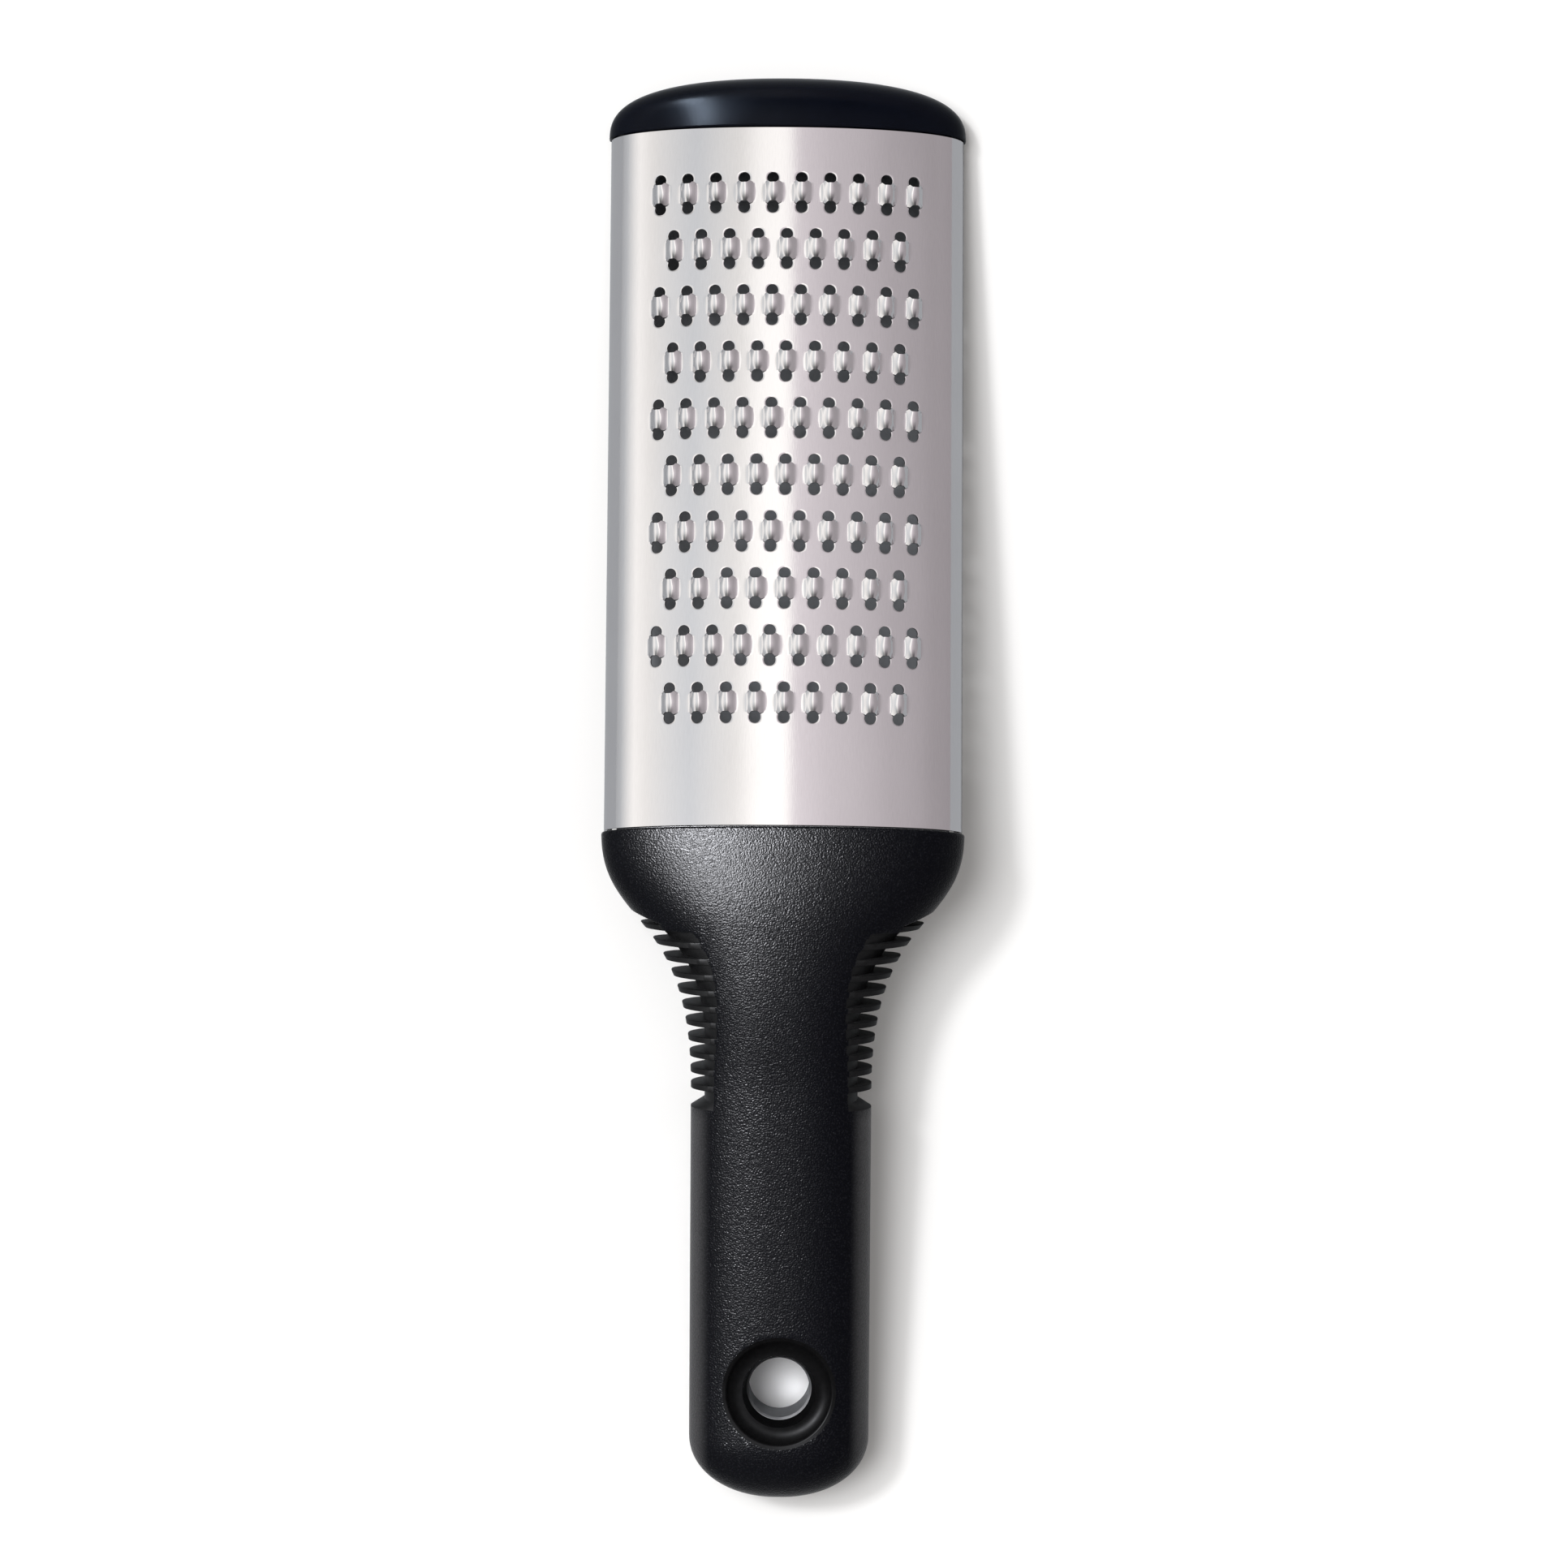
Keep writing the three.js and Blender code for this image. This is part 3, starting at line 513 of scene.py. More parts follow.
def arch_plug(start, end):
    """An arched band under the sheet, built up from four-sided sections."""
    angles = np.linspace(PLUG_SPREAD, math.pi - PLUG_SPREAD, ARCH_STEPS + 1)
    outer = np.stack(arch(angles, SHEET + SEAT_GAP + PLUG_EASE), 1)
    inner = np.stack(arch(angles, SHEET + SEAT_GAP + PLUG_WALL), 1)
    points, faces = loft([
        np.array([(x, start, h), (x, end, h), (x_in, end, h_in), (x_in, start, h_in)])
        for (x, h), (x_in, h_in) in zip(outer, inner)
    ])
    return from_blade(points), faces


cap = make_mesh("cap_moulding", *cap_dome())
combine(cap, "UNION", arch_plug(-PLUG_LENGTH, PLUG_LAP))
print("cap has", len(cap.data.polygons), "faces")

# %% [markdown]
# ## The soft foot
# A pad is let into the underside of the cap, and the grater stands on it. It is the cap's plan, a little
# smaller, cut off level with the table. Its lower edge is rounded by two extra rings. The cap gets a
# recess that is a little wider.

# %% Foot
FOOT_INSET = 1.8
FOOT_BACK = 1.5
FOOT_RECESS = 1
FOOT_STEPS = 72
FOOT_EDGE = [(0.0, 0.35), (0.06, 0.14), (0.25, 0.0)]


def foot_outline(inset):
    """The cap's plan, moved inwards and cut off straight at the back."""
    back = FOOT_BACK + inset - FOOT_INSET
    start = math.asin((back / (CAP_LENGTH - inset)) ** (CAP_PLAN_ROUNDNESS / 2))
    return cap_plan(np.linspace(start, math.pi - start, FOOT_STEPS + 1), inset)


def foot_pad():
    rings = []
    for height, inset in FOOT_EDGE:
        x, v = foot_outline(FOOT_INSET + inset)
        h = (TILT_SIN * v - CROWN_HEIGHT + height) / TILT_COS
        rings.append(np.column_stack([x, v, h]))
    x, v = foot_outline(FOOT_INSET)
    rings.append(np.column_stack([x, v, np.full_like(x, BLADE_BOTTOM + FOOT_RECESS - SEAT_GAP)]))
    points, faces = loft(rings)
    return np.maximum(from_blade(points), (-np.inf, -np.inf, 0)), faces


def foot_recess():
    x, v = foot_outline(FOOT_INSET - SEAT_GAP)
    heights = (BLADE_BOTTOM - FOOT_RECESS, BLADE_BOTTOM + FOOT_RECESS)
    points, faces = loft([np.column_stack([x, v, np.full_like(x, h)]) for h in heights])
    return from_blade(points), faces


foot = make_mesh("foot_pad", *foot_pad())
seat(foot, "non_slip_foot")
combine(cap, "DIFFERENCE", foot_recess())
seat(cap, "end_cap")

# %% [markdown]
# ## The handle's spine
# The handle bends over inside the shoulder on an arc and then runs straight down to its heel. Sections
# stand square to that spine. Its tilt is found by halving: the heel has to touch the table.

# %% Spine
HANDLE_LENGTH = 131.47
HANDLE_HALF_WIDTH = 17.7
HANDLE_TOP = 10.2
HANDLE_BOTTOM = 10.8
HANDLE_ROUNDNESS = 2.35
NECK_LENGTH = 50
BEND_LENGTH = 16
HEEL_FROM_END = 15
HEEL_FLAT = 0.3
HALVINGS = 50
SPINE_START = from_blade([(0, -BLADE_LENGTH - SEAT_GAP, -BLADE_RISE)])[0]


def spine_at(s, tilt):
    """Angle, y and z of the spine at a distance s from the shoulder's face."""
    radius = BEND_LENGTH / (BLADE_TILT + tilt)
    angle = BLADE_TILT - min(s, BEND_LENGTH) / radius
    straight = max(s - BEND_LENGTH, 0)
    y = SPINE_START[1] - radius * (TILT_SIN - math.sin(angle)) - straight * math.cos(angle)
    z = SPINE_START[2] + radius * (math.cos(angle) - TILT_COS) + straight * math.sin(angle)
    return angle, y, z


def handle_tilt():
    low, high = 0.0, math.pi / 4
    for _ in range(HALVINGS):
        middle = (low + high) / 2
        heel = spine_at(HANDLE_LENGTH - HEEL_FROM_END, middle)[2] - HANDLE_BOTTOM * math.cos(middle)
        low, high = (middle, high) if heel > -HEEL_FLAT else (low, middle)
    return low


HANDLE_TILT = handle_tilt()


def on_spine(s, x, h):
    """Section points (x, h) at s along the spine, in the row frame."""
    angle, y, z = spine_at(s, HANDLE_TILT)
    h = np.asarray(h)
    return np.column_stack([x, y + math.sin(angle) * h, z + math.cos(angle) * h])


print("handle tilt in degrees:", round(math.degrees(HANDLE_TILT), 2))

# %% [markdown]
# ## The grip's section
# At the shoulder the section is the blade's arch with a shallow floor. Over the neck it settles into a
# rounded oval. Its half width follows one Bezier curve, level at the shoulder and level again on the
# neck.

# %% Grip section
SHOULDER_LIP = 0.5
SHOULDER_FLOOR = 2.8
SHOULDER_FLOOR_ROUNDNESS = 5
SHOULDER_REACH = 18.7
WAIST_REACH = 14.2
END_ROUND = 12.5
END_ROUNDNESS = 2.1
BEZIER_STEPS = 2001
RING_STEPS = 288
RING_ANGLES = np.linspace(0, 2 * math.pi, RING_STEPS, endpoint=False)


def waisted(s, broad, narrow, reach, settle, length):
    """Half width at s of an outline that leaves a broad end level and settles into a narrow one."""
    t = np.linspace(0, 1, BEZIER_STEPS)
    along = 3 * (1 - t) ** 2 * t * reach + 3 * (1 - t) * t**2 * settle + t**3 * length
    ease = 3 * (1 - t) * t**2 + t**3
    return broad + (narrow - broad) * np.interp(s, along, ease)


def mixed(a, b, share):
    return a + (b - a) * share


def eased(share):
    """A share from 0 to 1 that starts and ends level."""
    return share * share * (3 - 2 * share)


def grip_form(s):
    """Half width, top, bottom and the two roundness powers of the grip at s."""
    settle = eased(min(max(s / NECK_LENGTH, 0), 1))
    broad = BLADE_HALF_WIDTH + SHOULDER_LIP
    half = waisted(s, broad, HANDLE_HALF_WIDTH, SHOULDER_REACH, WAIST_REACH, NECK_LENGTH)
    past = min(max(s - HANDLE_LENGTH + END_ROUND, 0) / END_ROUND, 1)
    close = (1 - past**END_ROUNDNESS) ** (1 / END_ROUNDNESS)
    top = mixed(BLADE_RISE + SHOULDER_LIP, HANDLE_TOP, settle) * close
    bottom = mixed(SHOULDER_FLOOR, HANDLE_BOTTOM, settle) * close
    over = mixed(BLADE_ROUNDNESS, HANDLE_ROUNDNESS, settle)
    under = mixed(SHOULDER_FLOOR_ROUNDNESS, HANDLE_ROUNDNESS, settle)
    return half * close, top, bottom, over, under


def grip_outline(s):
    """The grip's closed section at s, as x and h."""
    half, top, bottom, over, under = grip_form(s)
    x_over, h_over = rounded(RING_ANGLES, over)
    x_under, h_under = rounded(RING_ANGLES, under)
    upper = RING_ANGLES <= math.pi
    return np.where(upper, x_over, x_under) * half, np.where(upper, h_over * top, h_under * bottom)


print("neck half width in mm:", round(float(grip_form(NECK_LENGTH)[0]), 2))

# %% [markdown]
# ## Fins and grooves
# Both sides of the neck are cut into thin fins. The grooves go down to a waist that widens towards the
# shoulder and is taller than the grip, so the top of the neck stays whole. One could cut twelve slots
# with booleans. Here the section itself is drawn in to the waist wherever a groove runs, which keeps one
# clean skin. The first groove is a wedge behind the shoulder's sloping back, and the last one runs out on
# a slope.

# %% Grooves
FIN_COUNT = 11
FIN_PITCH = 3.15
FIN_THICKNESS = 1.1
FIRST_FIN = 17.8
SCALLOP_DEPTH = 11
SCALLOP_END = 46
SCALLOP_LENGTH = 29.8
SCALLOP_POWER = 3.2
WAIST_HALF_WIDTH = 15
WAIST_HALF_HEIGHT = 13
WEDGE_END = 23.3
WEDGE_SLOPE = 0.366
LAST_GROOVE_RAMP = 1.6
HALF_GROOVE = (FIN_PITCH - FIN_THICKNESS) / 2
GROOVE_WALL = [(0.05, 0.0), (0.0, 0.1), (-0.04, 0.35), (-0.09, 1.0)]
GROOVES = [FIRST_FIN + (k - 0.5) * FIN_PITCH for k in range(FIN_COUNT + 1)]
WEDGE_FLOOR = FIRST_FIN - FIN_THICKNESS / 2
WEDGE_START = WEDGE_FLOOR - WEDGE_SLOPE * (BLADE_HALF_WIDTH - WEDGE_END)
WEDGE_STATIONS, RAMP_STATIONS = 24, 9


def groove_floor(s, h):
    """How far out a groove's floor lies at s and height h."""
    dip = SCALLOP_DEPTH * (max(SCALLOP_END - s, 0) / SCALLOP_LENGTH) ** SCALLOP_POWER
    tall = np.clip(1 - np.abs(h / WAIST_HALF_HEIGHT) ** HANDLE_ROUNDNESS, 0, 1)
    waist = (WAIST_HALF_WIDTH + dip) * tall ** (1 / HANDLE_ROUNDNESS)
    wedge = WEDGE_END + (WEDGE_FLOOR - s) / WEDGE_SLOPE
    return np.maximum(waist, wedge) if s < FIRST_FIN else waist


def groove_stations():
    """Stations across every groove, each with the share of the way down to its floor."""
    wedge_end = WEDGE_FLOOR + GROOVE_WALL[-1][0]
    made = [(s, 1.0) for s in np.linspace(WEDGE_START, wedge_end, WEDGE_STATIONS)]
    ramp = [(LAST_GROOVE_RAMP * share, 1 - share) for share in np.linspace(0, 1, RAMP_STATIONS)]
    for k, middle in enumerate(GROOVES):
        if k > 0:
            made += [(middle - HALF_GROOVE - out, depth) for out, depth in GROOVE_WALL]
            made += [(middle - HALF_GROOVE / 2, 1.0), (middle, 1.0), (middle + HALF_GROOVE / 2, 1.0)]
        if k < FIN_COUNT:
            made += [(middle + HALF_GROOVE + out, depth) for out, depth in reversed(GROOVE_WALL)]
        else:
            made += [(middle + HALF_GROOVE + out, depth) for out, depth in ramp]
    return made


print("grooves from", round(WEDGE_START, 2), "to", round(GROOVES[-1], 2), "mm behind the shoulder's face")

# %% [markdown]
# ## The skin of the grip
# Sections along the spine are joined into one skin: shoulder with a rounded lip, grooves, neck, straight
# grip and rounded end. The shoulder's face has a pocket for the core. The fins are smooth and the rest is
# grained, so each face also gets a number for its finish.

# %% Grip skin
BULKHEAD = 4
BULKHEAD_FLOOR = 0.8
LIP_ROUND = [(0.0, 0.32), (0.08, 0.16), (0.2, 0.06), (0.4, 0.0)]
GRAINED, SMOOTH, DISHED = 0, 1, 2
FIN_EDGE = 0.15
SHOULDER_START = 0.6
SHOULDER_STATIONS, BODY_STATIONS, END_STATIONS = 22, 40, 30
NEAR_POLE = 0.985
FLOOR_SHARPNESS = 8


def pocket_outline(grow):
    """Where the core's bulkhead goes in: the arch over a flat floor, as x and h from the spine."""
    x, h = rounded(RING_ANGLES, BLADE_ROUNDNESS)
    inset = SHEET + SEAT_GAP - grow
    floor = -(BULKHEAD_FLOOR + grow) * np.clip(-h * FLOOR_SHARPNESS, 0, 1)
    return x * (BLADE_HALF_WIDTH - inset), np.where(h >= 0, h * (BLADE_RISE - inset), floor)


def grip_rings():
    """Rings of the grip's skin from the pocket to the tip, and a smooth or grained mark for each point."""
    groove = groove_stations()
    first, last = groove[0][0], groove[-1][0]
    straight = HANDLE_LENGTH - END_ROUND
    turn = np.linspace(0, NEAR_POLE * math.pi / 2, END_STATIONS)[1:]
    plain_stations = np.concatenate([
        np.linspace(SHOULDER_START, first, SHOULDER_STATIONS)[:-1],
        np.linspace(last, straight, BODY_STATIONS)[1:],
        straight + END_ROUND * rounded(turn, END_ROUNDNESS)[1],
    ])
    stations = sorted([*groove, *[(s, 0.0) for s in plain_stations]])
    x, h = pocket_outline(SEAT_GAP)
    rings = [on_spine(BULKHEAD + SEAT_GAP, x, h), on_spine(0, x, h)]
    for s, inset in LIP_ROUND:
        x, h = grip_outline(s)
        rings.append(on_spine(s, x * (1 - inset / BLADE_HALF_WIDTH), h * (1 - inset / BLADE_RISE)))
    marks = [np.zeros(RING_STEPS)] * len(rings)
    for s, depth in stations:
        x, h = grip_outline(s)
        floor = groove_floor(s, h) if first <= s <= last else np.full_like(x, BLADE_HALF_WIDTH * 2)
        drawn = np.sign(x) * np.minimum(np.abs(x), floor)
        rings.append(on_spine(s, x + (drawn - x) * depth, h))
        marks.append(np.abs(x) > floor + FIN_EDGE)
    return rings, marks


def grip_skin():
    rings, marks = grip_rings()
    points, faces = loft(rings)
    points[:, 2] = np.maximum(points[:, 2], 0)
    marks = np.concatenate([*marks, [False, False]])
    finishes = [SMOOTH if all(marks[i] for i in face) else GRAINED for face in faces]
    return make_mesh("grip_overmould", points, faces, finishes)


grip = grip_skin()
print("grip skin has", len(grip.data.polygons), "faces")

# %% [markdown]
# ## The hang hole
# A dish follows the grip's own curve on both faces, with a soft rim, and leads to a tapered throat. The
# dish is not a plain lathe shape, because the grip falls away at its sides. So the cutter's rings take
# their height from the grip's surface, less the depth of the dish. A boolean then cuts dish, throat and
# bore in one go.

# %% Hang hole
HOLE_FROM_END = 22.6
BORE_RADIUS = 5.95
EYELET_LENGTH = 9.3
THROAT_RADIUS = 7.2
DISH_RADIUS = 10.6
DISH_DEPTH = 2.1
DISH_POWER = 2.6
RIM_ROLL = 0.55
RIM_SLOPE = 0.32
HOLE_AT = HANDLE_LENGTH - HOLE_FROM_END
HOLE_STEPS, RIM_RINGS, DISH_RINGS = 160, 12, 14
HOLE_ANGLES = np.linspace(0, 2 * math.pi, HOLE_STEPS, endpoint=False)
GRIP_MIDDLE = (HANDLE_TOP - HANDLE_BOTTOM) / 2


def face_height(x, s, side):
    """Height of the grip's upper (side 1) or lower (side -1) face over x and s."""
    heights = []
    for x_here, s_here in zip(x, s):
        half, top, bottom, over, under = grip_form(s_here)
        tall, power = (top, over) if side > 0 else (bottom, under)
        heights.append(side * tall * (1 - min(abs(x_here) / half, 1) ** power) ** (1 / power))
    return np.array(heights)


def dish_depth(radius):
    """Depth of the dish under the grip's face, with a rolled rim that ends a little above the face."""
    share = (radius - THROAT_RADIUS) / (DISH_RADIUS - THROAT_RADIUS)
    bowl = DISH_DEPTH * (1 - share**DISH_POWER)
    rim = RIM_SLOPE * (DISH_RADIUS + RIM_ROLL - radius)
    return mixed(rim, bowl, np.clip((DISH_RADIUS - radius) / RIM_ROLL, 0, 1))


def hole_circle(radius):
    """Across and along of a circle round the hang hole's axis."""
    return radius * np.cos(HOLE_ANGLES), HOLE_AT + radius * np.sin(HOLE_ANGLES)


def hole_ring(radius, heights):
    """A ring round the hang hole's axis, at one height or at a height for each of its points."""
    x, s = hole_circle(radius)
    heights = np.broadcast_to(heights, x.shape)
    return np.concatenate([on_spine(s_here, [x_here], [h]) for x_here, s_here, h in zip(x, s, heights)])


def dish_rings(side):
    """Rings of the cutter from outside the grip in to the throat, on one face."""
    outside, bowl = DISH_RADIUS + 2 * RIM_ROLL, DISH_RADIUS - RIM_ROLL
    radii = [*np.linspace(outside, bowl, RIM_RINGS), *np.linspace(bowl, THROAT_RADIUS, DISH_RINGS)[1:]]
    rings = []
    for radius in radii:
        floor = face_height(*hole_circle(radius), side) - side * dish_depth(radius)
        if not rings:
            rings.append(hole_ring(radius, floor + side * HANDLE_TOP))
        rings.append(hole_ring(radius, floor))
    return [*rings, hole_ring(BORE_RADIUS + SEAT_GAP, GRIP_MIDDLE + side * EYELET_LENGTH / 2)]


for name in ("grained", "smooth", "dish"):
    grip.data.materials.append(bpy.data.materials.new(f"grip_{name}"))
combine(grip, "DIFFERENCE", loft([*dish_rings(1), *reversed(dish_rings(-1))]), DISHED)
print("grip with its hole has", len(grip.data.polygons), "faces")

# %% [markdown]
# ## The core
# The stiff core shows only as the wall of the hang hole and as the plug and bulkhead under the root of
# the blade. A tang joins the bulkhead to a drum round the hole, and a flared bore goes through the drum.
# The same tang and drum, grown by the seat gap, are taken out of the grip, so the two mouldings fit like
# glove and hand.

# %% Core
CORE_PLUG_LENGTH = 10
CORE_NECK_LENGTH = 38
CORE_NECK_HALF_WIDTH = 31
CORE_NECK_REACH = 12.7
CORE_NECK_TOP = 10.5
CORE_NECK_BOTTOM = 0.4
CORE_NECK_RINGS = 24
TANG_HALF_WIDTH = 10
TANG_HALF_HEIGHT = 5.5
TANG_TAPER = 21
TANG_TIP_HALF_WIDTH = 5
TANG_TIP_HALF_HEIGHT = 3.1
EYELET_WALL = 2.5
EYELET_EDGE = 0.35
CORE_FACE = -BLADE_LENGTH - SEAT_GAP


def tang(grow):
    """The core's neck and tang, grown all round."""
    forms = []
    for s in np.linspace(BULKHEAD / 2, CORE_NECK_LENGTH, CORE_NECK_RINGS):
        settle = eased(s / CORE_NECK_LENGTH)
        widths = CORE_NECK_HALF_WIDTH, TANG_HALF_WIDTH
        half = waisted(s, *widths, CORE_NECK_REACH, CORE_NECK_REACH, CORE_NECK_LENGTH)
        top = mixed(CORE_NECK_TOP, TANG_HALF_HEIGHT, settle)
        forms.append((s, half, top, mixed(CORE_NECK_BOTTOM, TANG_HALF_HEIGHT, settle)))
    forms.append((HOLE_AT - TANG_TAPER, TANG_HALF_WIDTH, TANG_HALF_HEIGHT, TANG_HALF_HEIGHT))
    forms.append((HOLE_AT, TANG_TIP_HALF_WIDTH, TANG_TIP_HALF_HEIGHT, TANG_TIP_HALF_HEIGHT))
    x, h = rounded(RING_ANGLES, HANDLE_ROUNDNESS)
    return loft([
        on_spine(s, x * (half + grow), np.where(h > 0, h * (top + grow), h * (bottom + grow)))
        for s, half, top, bottom in forms
    ])


def drum(grow):
    """The solid drum round the hang hole, grown all round."""
    half = EYELET_LENGTH / 2 + grow
    radius = BORE_RADIUS + EYELET_WALL + grow
    return loft([hole_ring(radius, GRIP_MIDDLE + h) for h in (-half, half)])


def flared_bore():
    """The bore, with a flare at each end that softens its edges and runs on past the drum."""
    inner, past = EYELET_LENGTH / 2 - EYELET_EDGE, EYELET_LENGTH / 2 + EYELET_EDGE
    profile = [(2 * EYELET_EDGE, -past), (0, -inner), (0, inner), (2 * EYELET_EDGE, past)]
    return loft([hole_ring(BORE_RADIUS + flare, GRIP_MIDDLE + h) for flare, h in profile])


def bulkhead():
    x, h = pocket_outline(0)
    stations = (CORE_FACE - BULKHEAD, CORE_FACE)
    points, faces = loft([np.column_stack([x, np.full_like(x, v), h - BLADE_RISE]) for v in stations])
    return from_blade(points), faces


core = make_mesh("core_moulding", *bulkhead())
core_plug = arch_plug(CORE_FACE - PLUG_LAP, CORE_FACE + CORE_PLUG_LENGTH)
for shell in (core_plug, tang(0), drum(0)):
    combine(core, "UNION", shell)
combine(core, "DIFFERENCE", flared_bore())
seat(core, "handle_core")
for shell in (tang(SEAT_GAP), drum(SEAT_GAP)):
    combine(grip, "DIFFERENCE", shell, SMOOTH)
seat(grip, "handle_grip")

# %% [markdown]
# ## Finishes as Python sums
# Shader nodes are easier to read as sums than as boxes and wires. A small class wraps one output socket.
# Adding, subtracting and multiplying wires adds Math nodes, also when a plain number comes first. Any
# other node comes from one method that sets the node's settings first and then its sockets.

# %% Wire class
class Wire:
    """One output socket of a node tree, which can be used in Python sums."""

    def __init__(self, tree, socket=None):
        self.tree = tree
        self.socket = socket

    def add(self, kind, settings=None, sockets=None, out=0):
        """Adds a node of a kind, with its settings and then the values or wires of its sockets."""
        node = self.tree.nodes.new(kind)
        for name, value in (settings or {}).items():
            if name == "stops":
                self.set_stops(node.color_ramp, value)
            else:
                setattr(node, name, value)
        for name, value in (sockets or {}).items():
            if isinstance(value, Wire):
                self.tree.links.new(value.socket, node.inputs[name])
            else:
                node.inputs[name].default_value = value
        return Wire(self.tree, node.outputs[out] if node.outputs else None)

    @staticmethod
    def set_stops(ramp, stops):
        while len(ramp.elements) < len(stops):
            ramp.elements.new(1.0)
        for element, (place, colour) in zip(ramp.elements, stops):
            element.position = place
            element.color = (*colour, 1.0)

    def math(self, operation, *terms):
        return self.add("ShaderNodeMath", {"operation": operation}, dict(enumerate(terms)))

    def __add__(self, other):
        return self.math("ADD", self, other)

    def __sub__(self, other):
        return self.math("SUBTRACT", self, other)

    def __rsub__(self, other):
        return self.math("SUBTRACT", other, self)

    def __mul__(self, other):
        return self.math("MULTIPLY", self, other)

    __radd__ = __add__
    __rmul__ = __mul__

    def clipped(self, low, high):
        """Runs from 0 at low to 1 at high, and stays level beyond."""
        sockets = {"Value": self, "From Min": low, "From Max": high}
        return self.add("ShaderNodeMapRange", {"interpolation_type": "SMOOTHSTEP"}, sockets)

    def blend(self, first, second):
        """A colour between two colours, by this wire."""
        settings = {"data_type": "RGBA"}
        return self.add("ShaderNodeMix", settings, {0: self, 6: first, 7: second}, out=2)

    def parts(self, vector):
        """The x, y and z of a vector, as three wires."""
        split = self.add("ShaderNodeSeparateXYZ", None, {0: vector})
        return [Wire(self.tree, socket) for socket in split.socket.node.outputs]


def emptied(owner):
    """Empties the node tree of a material or a world, and returns a bare wire in it."""
    owner.use_nodes = True
    owner.node_tree.nodes.clear()
    return Wire(owner.node_tree)


def new_finish(material, **constants):
    """Empties a material and adds the main shader. Returns a bare wire and the shader."""
    bare = emptied(material)
    sockets = {name.replace("_", " "): value for name, value in constants.items()}
    main = bare.add("ShaderNodeBsdfPrincipled", None, sockets)
    bare.add("ShaderNodeOutputMaterial", None, {"Surface": main})
    return bare, main.socket.node


def plug_in(shader, **wires):
    for name, wire in wires.items():
        wire.tree.links.new(wire.socket, shader.inputs[name.replace("_", " ")])


def stretched(bare, along=1.0):
    """Object coordinates. A scale along the grater under 1 draws what uses them out into streaks."""
    place = bare.add("ShaderNodeTexCoord", out=3)
    return bare.add("ShaderNodeMapping", None, {"Vector": place, "Scale": (1.0, along, 1.0)})


def noise(bare, place, scale, detail=2.0, roughness=0.5):
    sockets = {"Vector": place, "Scale": scale, "Detail": detail, "Roughness": roughness}
    return bare.add("ShaderNodeTexNoise", None, sockets)


def bump_up(bare, shader, strength, depth, height):
    """Lets a height stand out of the surface as a bump of a depth in millimetres."""
    sockets = {"Strength": strength, "Distance": depth * MM, "Height": height}
    plug_in(shader, Normal=bare.add("ShaderNodeBump", None, sockets))


print("wire class is ready")

# %% [markdown]
# ## Bright rolled steel
# The sheet is polished stainless steel with the faint lengthwise grain of the rolling mill. Noise that is
# stretched along the blade varies the roughness and gives a very shallow bump. A broad, soft noise adds
# the slight unevenness that pressing leaves behind. The inside of the sheet is left dull, so it gets a
# second, darker steel.

# %% Steel
steel = bpy.data.materials.new("rolled_steel")
bare, shader = new_finish(steel, Metallic=1.0)
rolling = noise(bare, stretched(bare, 0.012), 5200.0, 3.0)
patches = noise(bare, stretched(bare, 0.6), 90.0, 2.0)
colour = (rolling * 0.5 + patches * 0.5).blend((0.60, 0.585, 0.595, 1), (0.72, 0.705, 0.715, 1))
plug_in(shader, Base_Color=colour, Roughness=0.06 + rolling * 0.04 + patches * 0.02)
bump_up(bare, shader, 0.05, 0.05, rolling + patches * 2.0)
blade.data.materials.append(steel)

dull = bpy.data.materials.new("dull_steel")
bare, shader = new_finish(dull, Metallic=0.6)
cloud = noise(bare, stretched(bare, 0.2), 400.0, 3.0)
colour = cloud.blend((0.05, 0.05, 0.053, 1), (0.09, 0.09, 0.094, 1))
plug_in(shader, Base_Color=colour, Roughness=0.5 + cloud * 0.2)
bump_up(bare, shader, 0.1, 0.05, cloud)
blade.data.materials.append(dull)
print("steel nodes:", len(steel.node_tree.nodes), "and", len(dull.node_tree.nodes))

# %% [markdown]
# ## Glossy cap
# The cap is a blue-black moulding with a high polish. Fine wiping marks run along it, so its highlight
# breaks up into short streaks.

# %% Cap finish
cap_finish = bpy.data.materials.new("cap_gloss")
bare, shader = new_finish(cap_finish, Specular_IOR_Level=0.05)
wiping = noise(bare, stretched(bare, 0.1), 3000.0, 3.0)
cloud = noise(bare, stretched(bare), 140.0, 2.0)
colour = cloud.blend((0.0016, 0.0023, 0.0048, 1), (0.003, 0.004, 0.008, 1))
plug_in(shader, Base_Color=colour, Roughness=0.13 + wiping * 0.1 + cloud * 0.05)
bump_up(bare, shader, 0.14, 0.04, wiping)
cap.data.materials.append(cap_finish)
print("cap nodes:", len(cap_finish.node_tree.nodes))
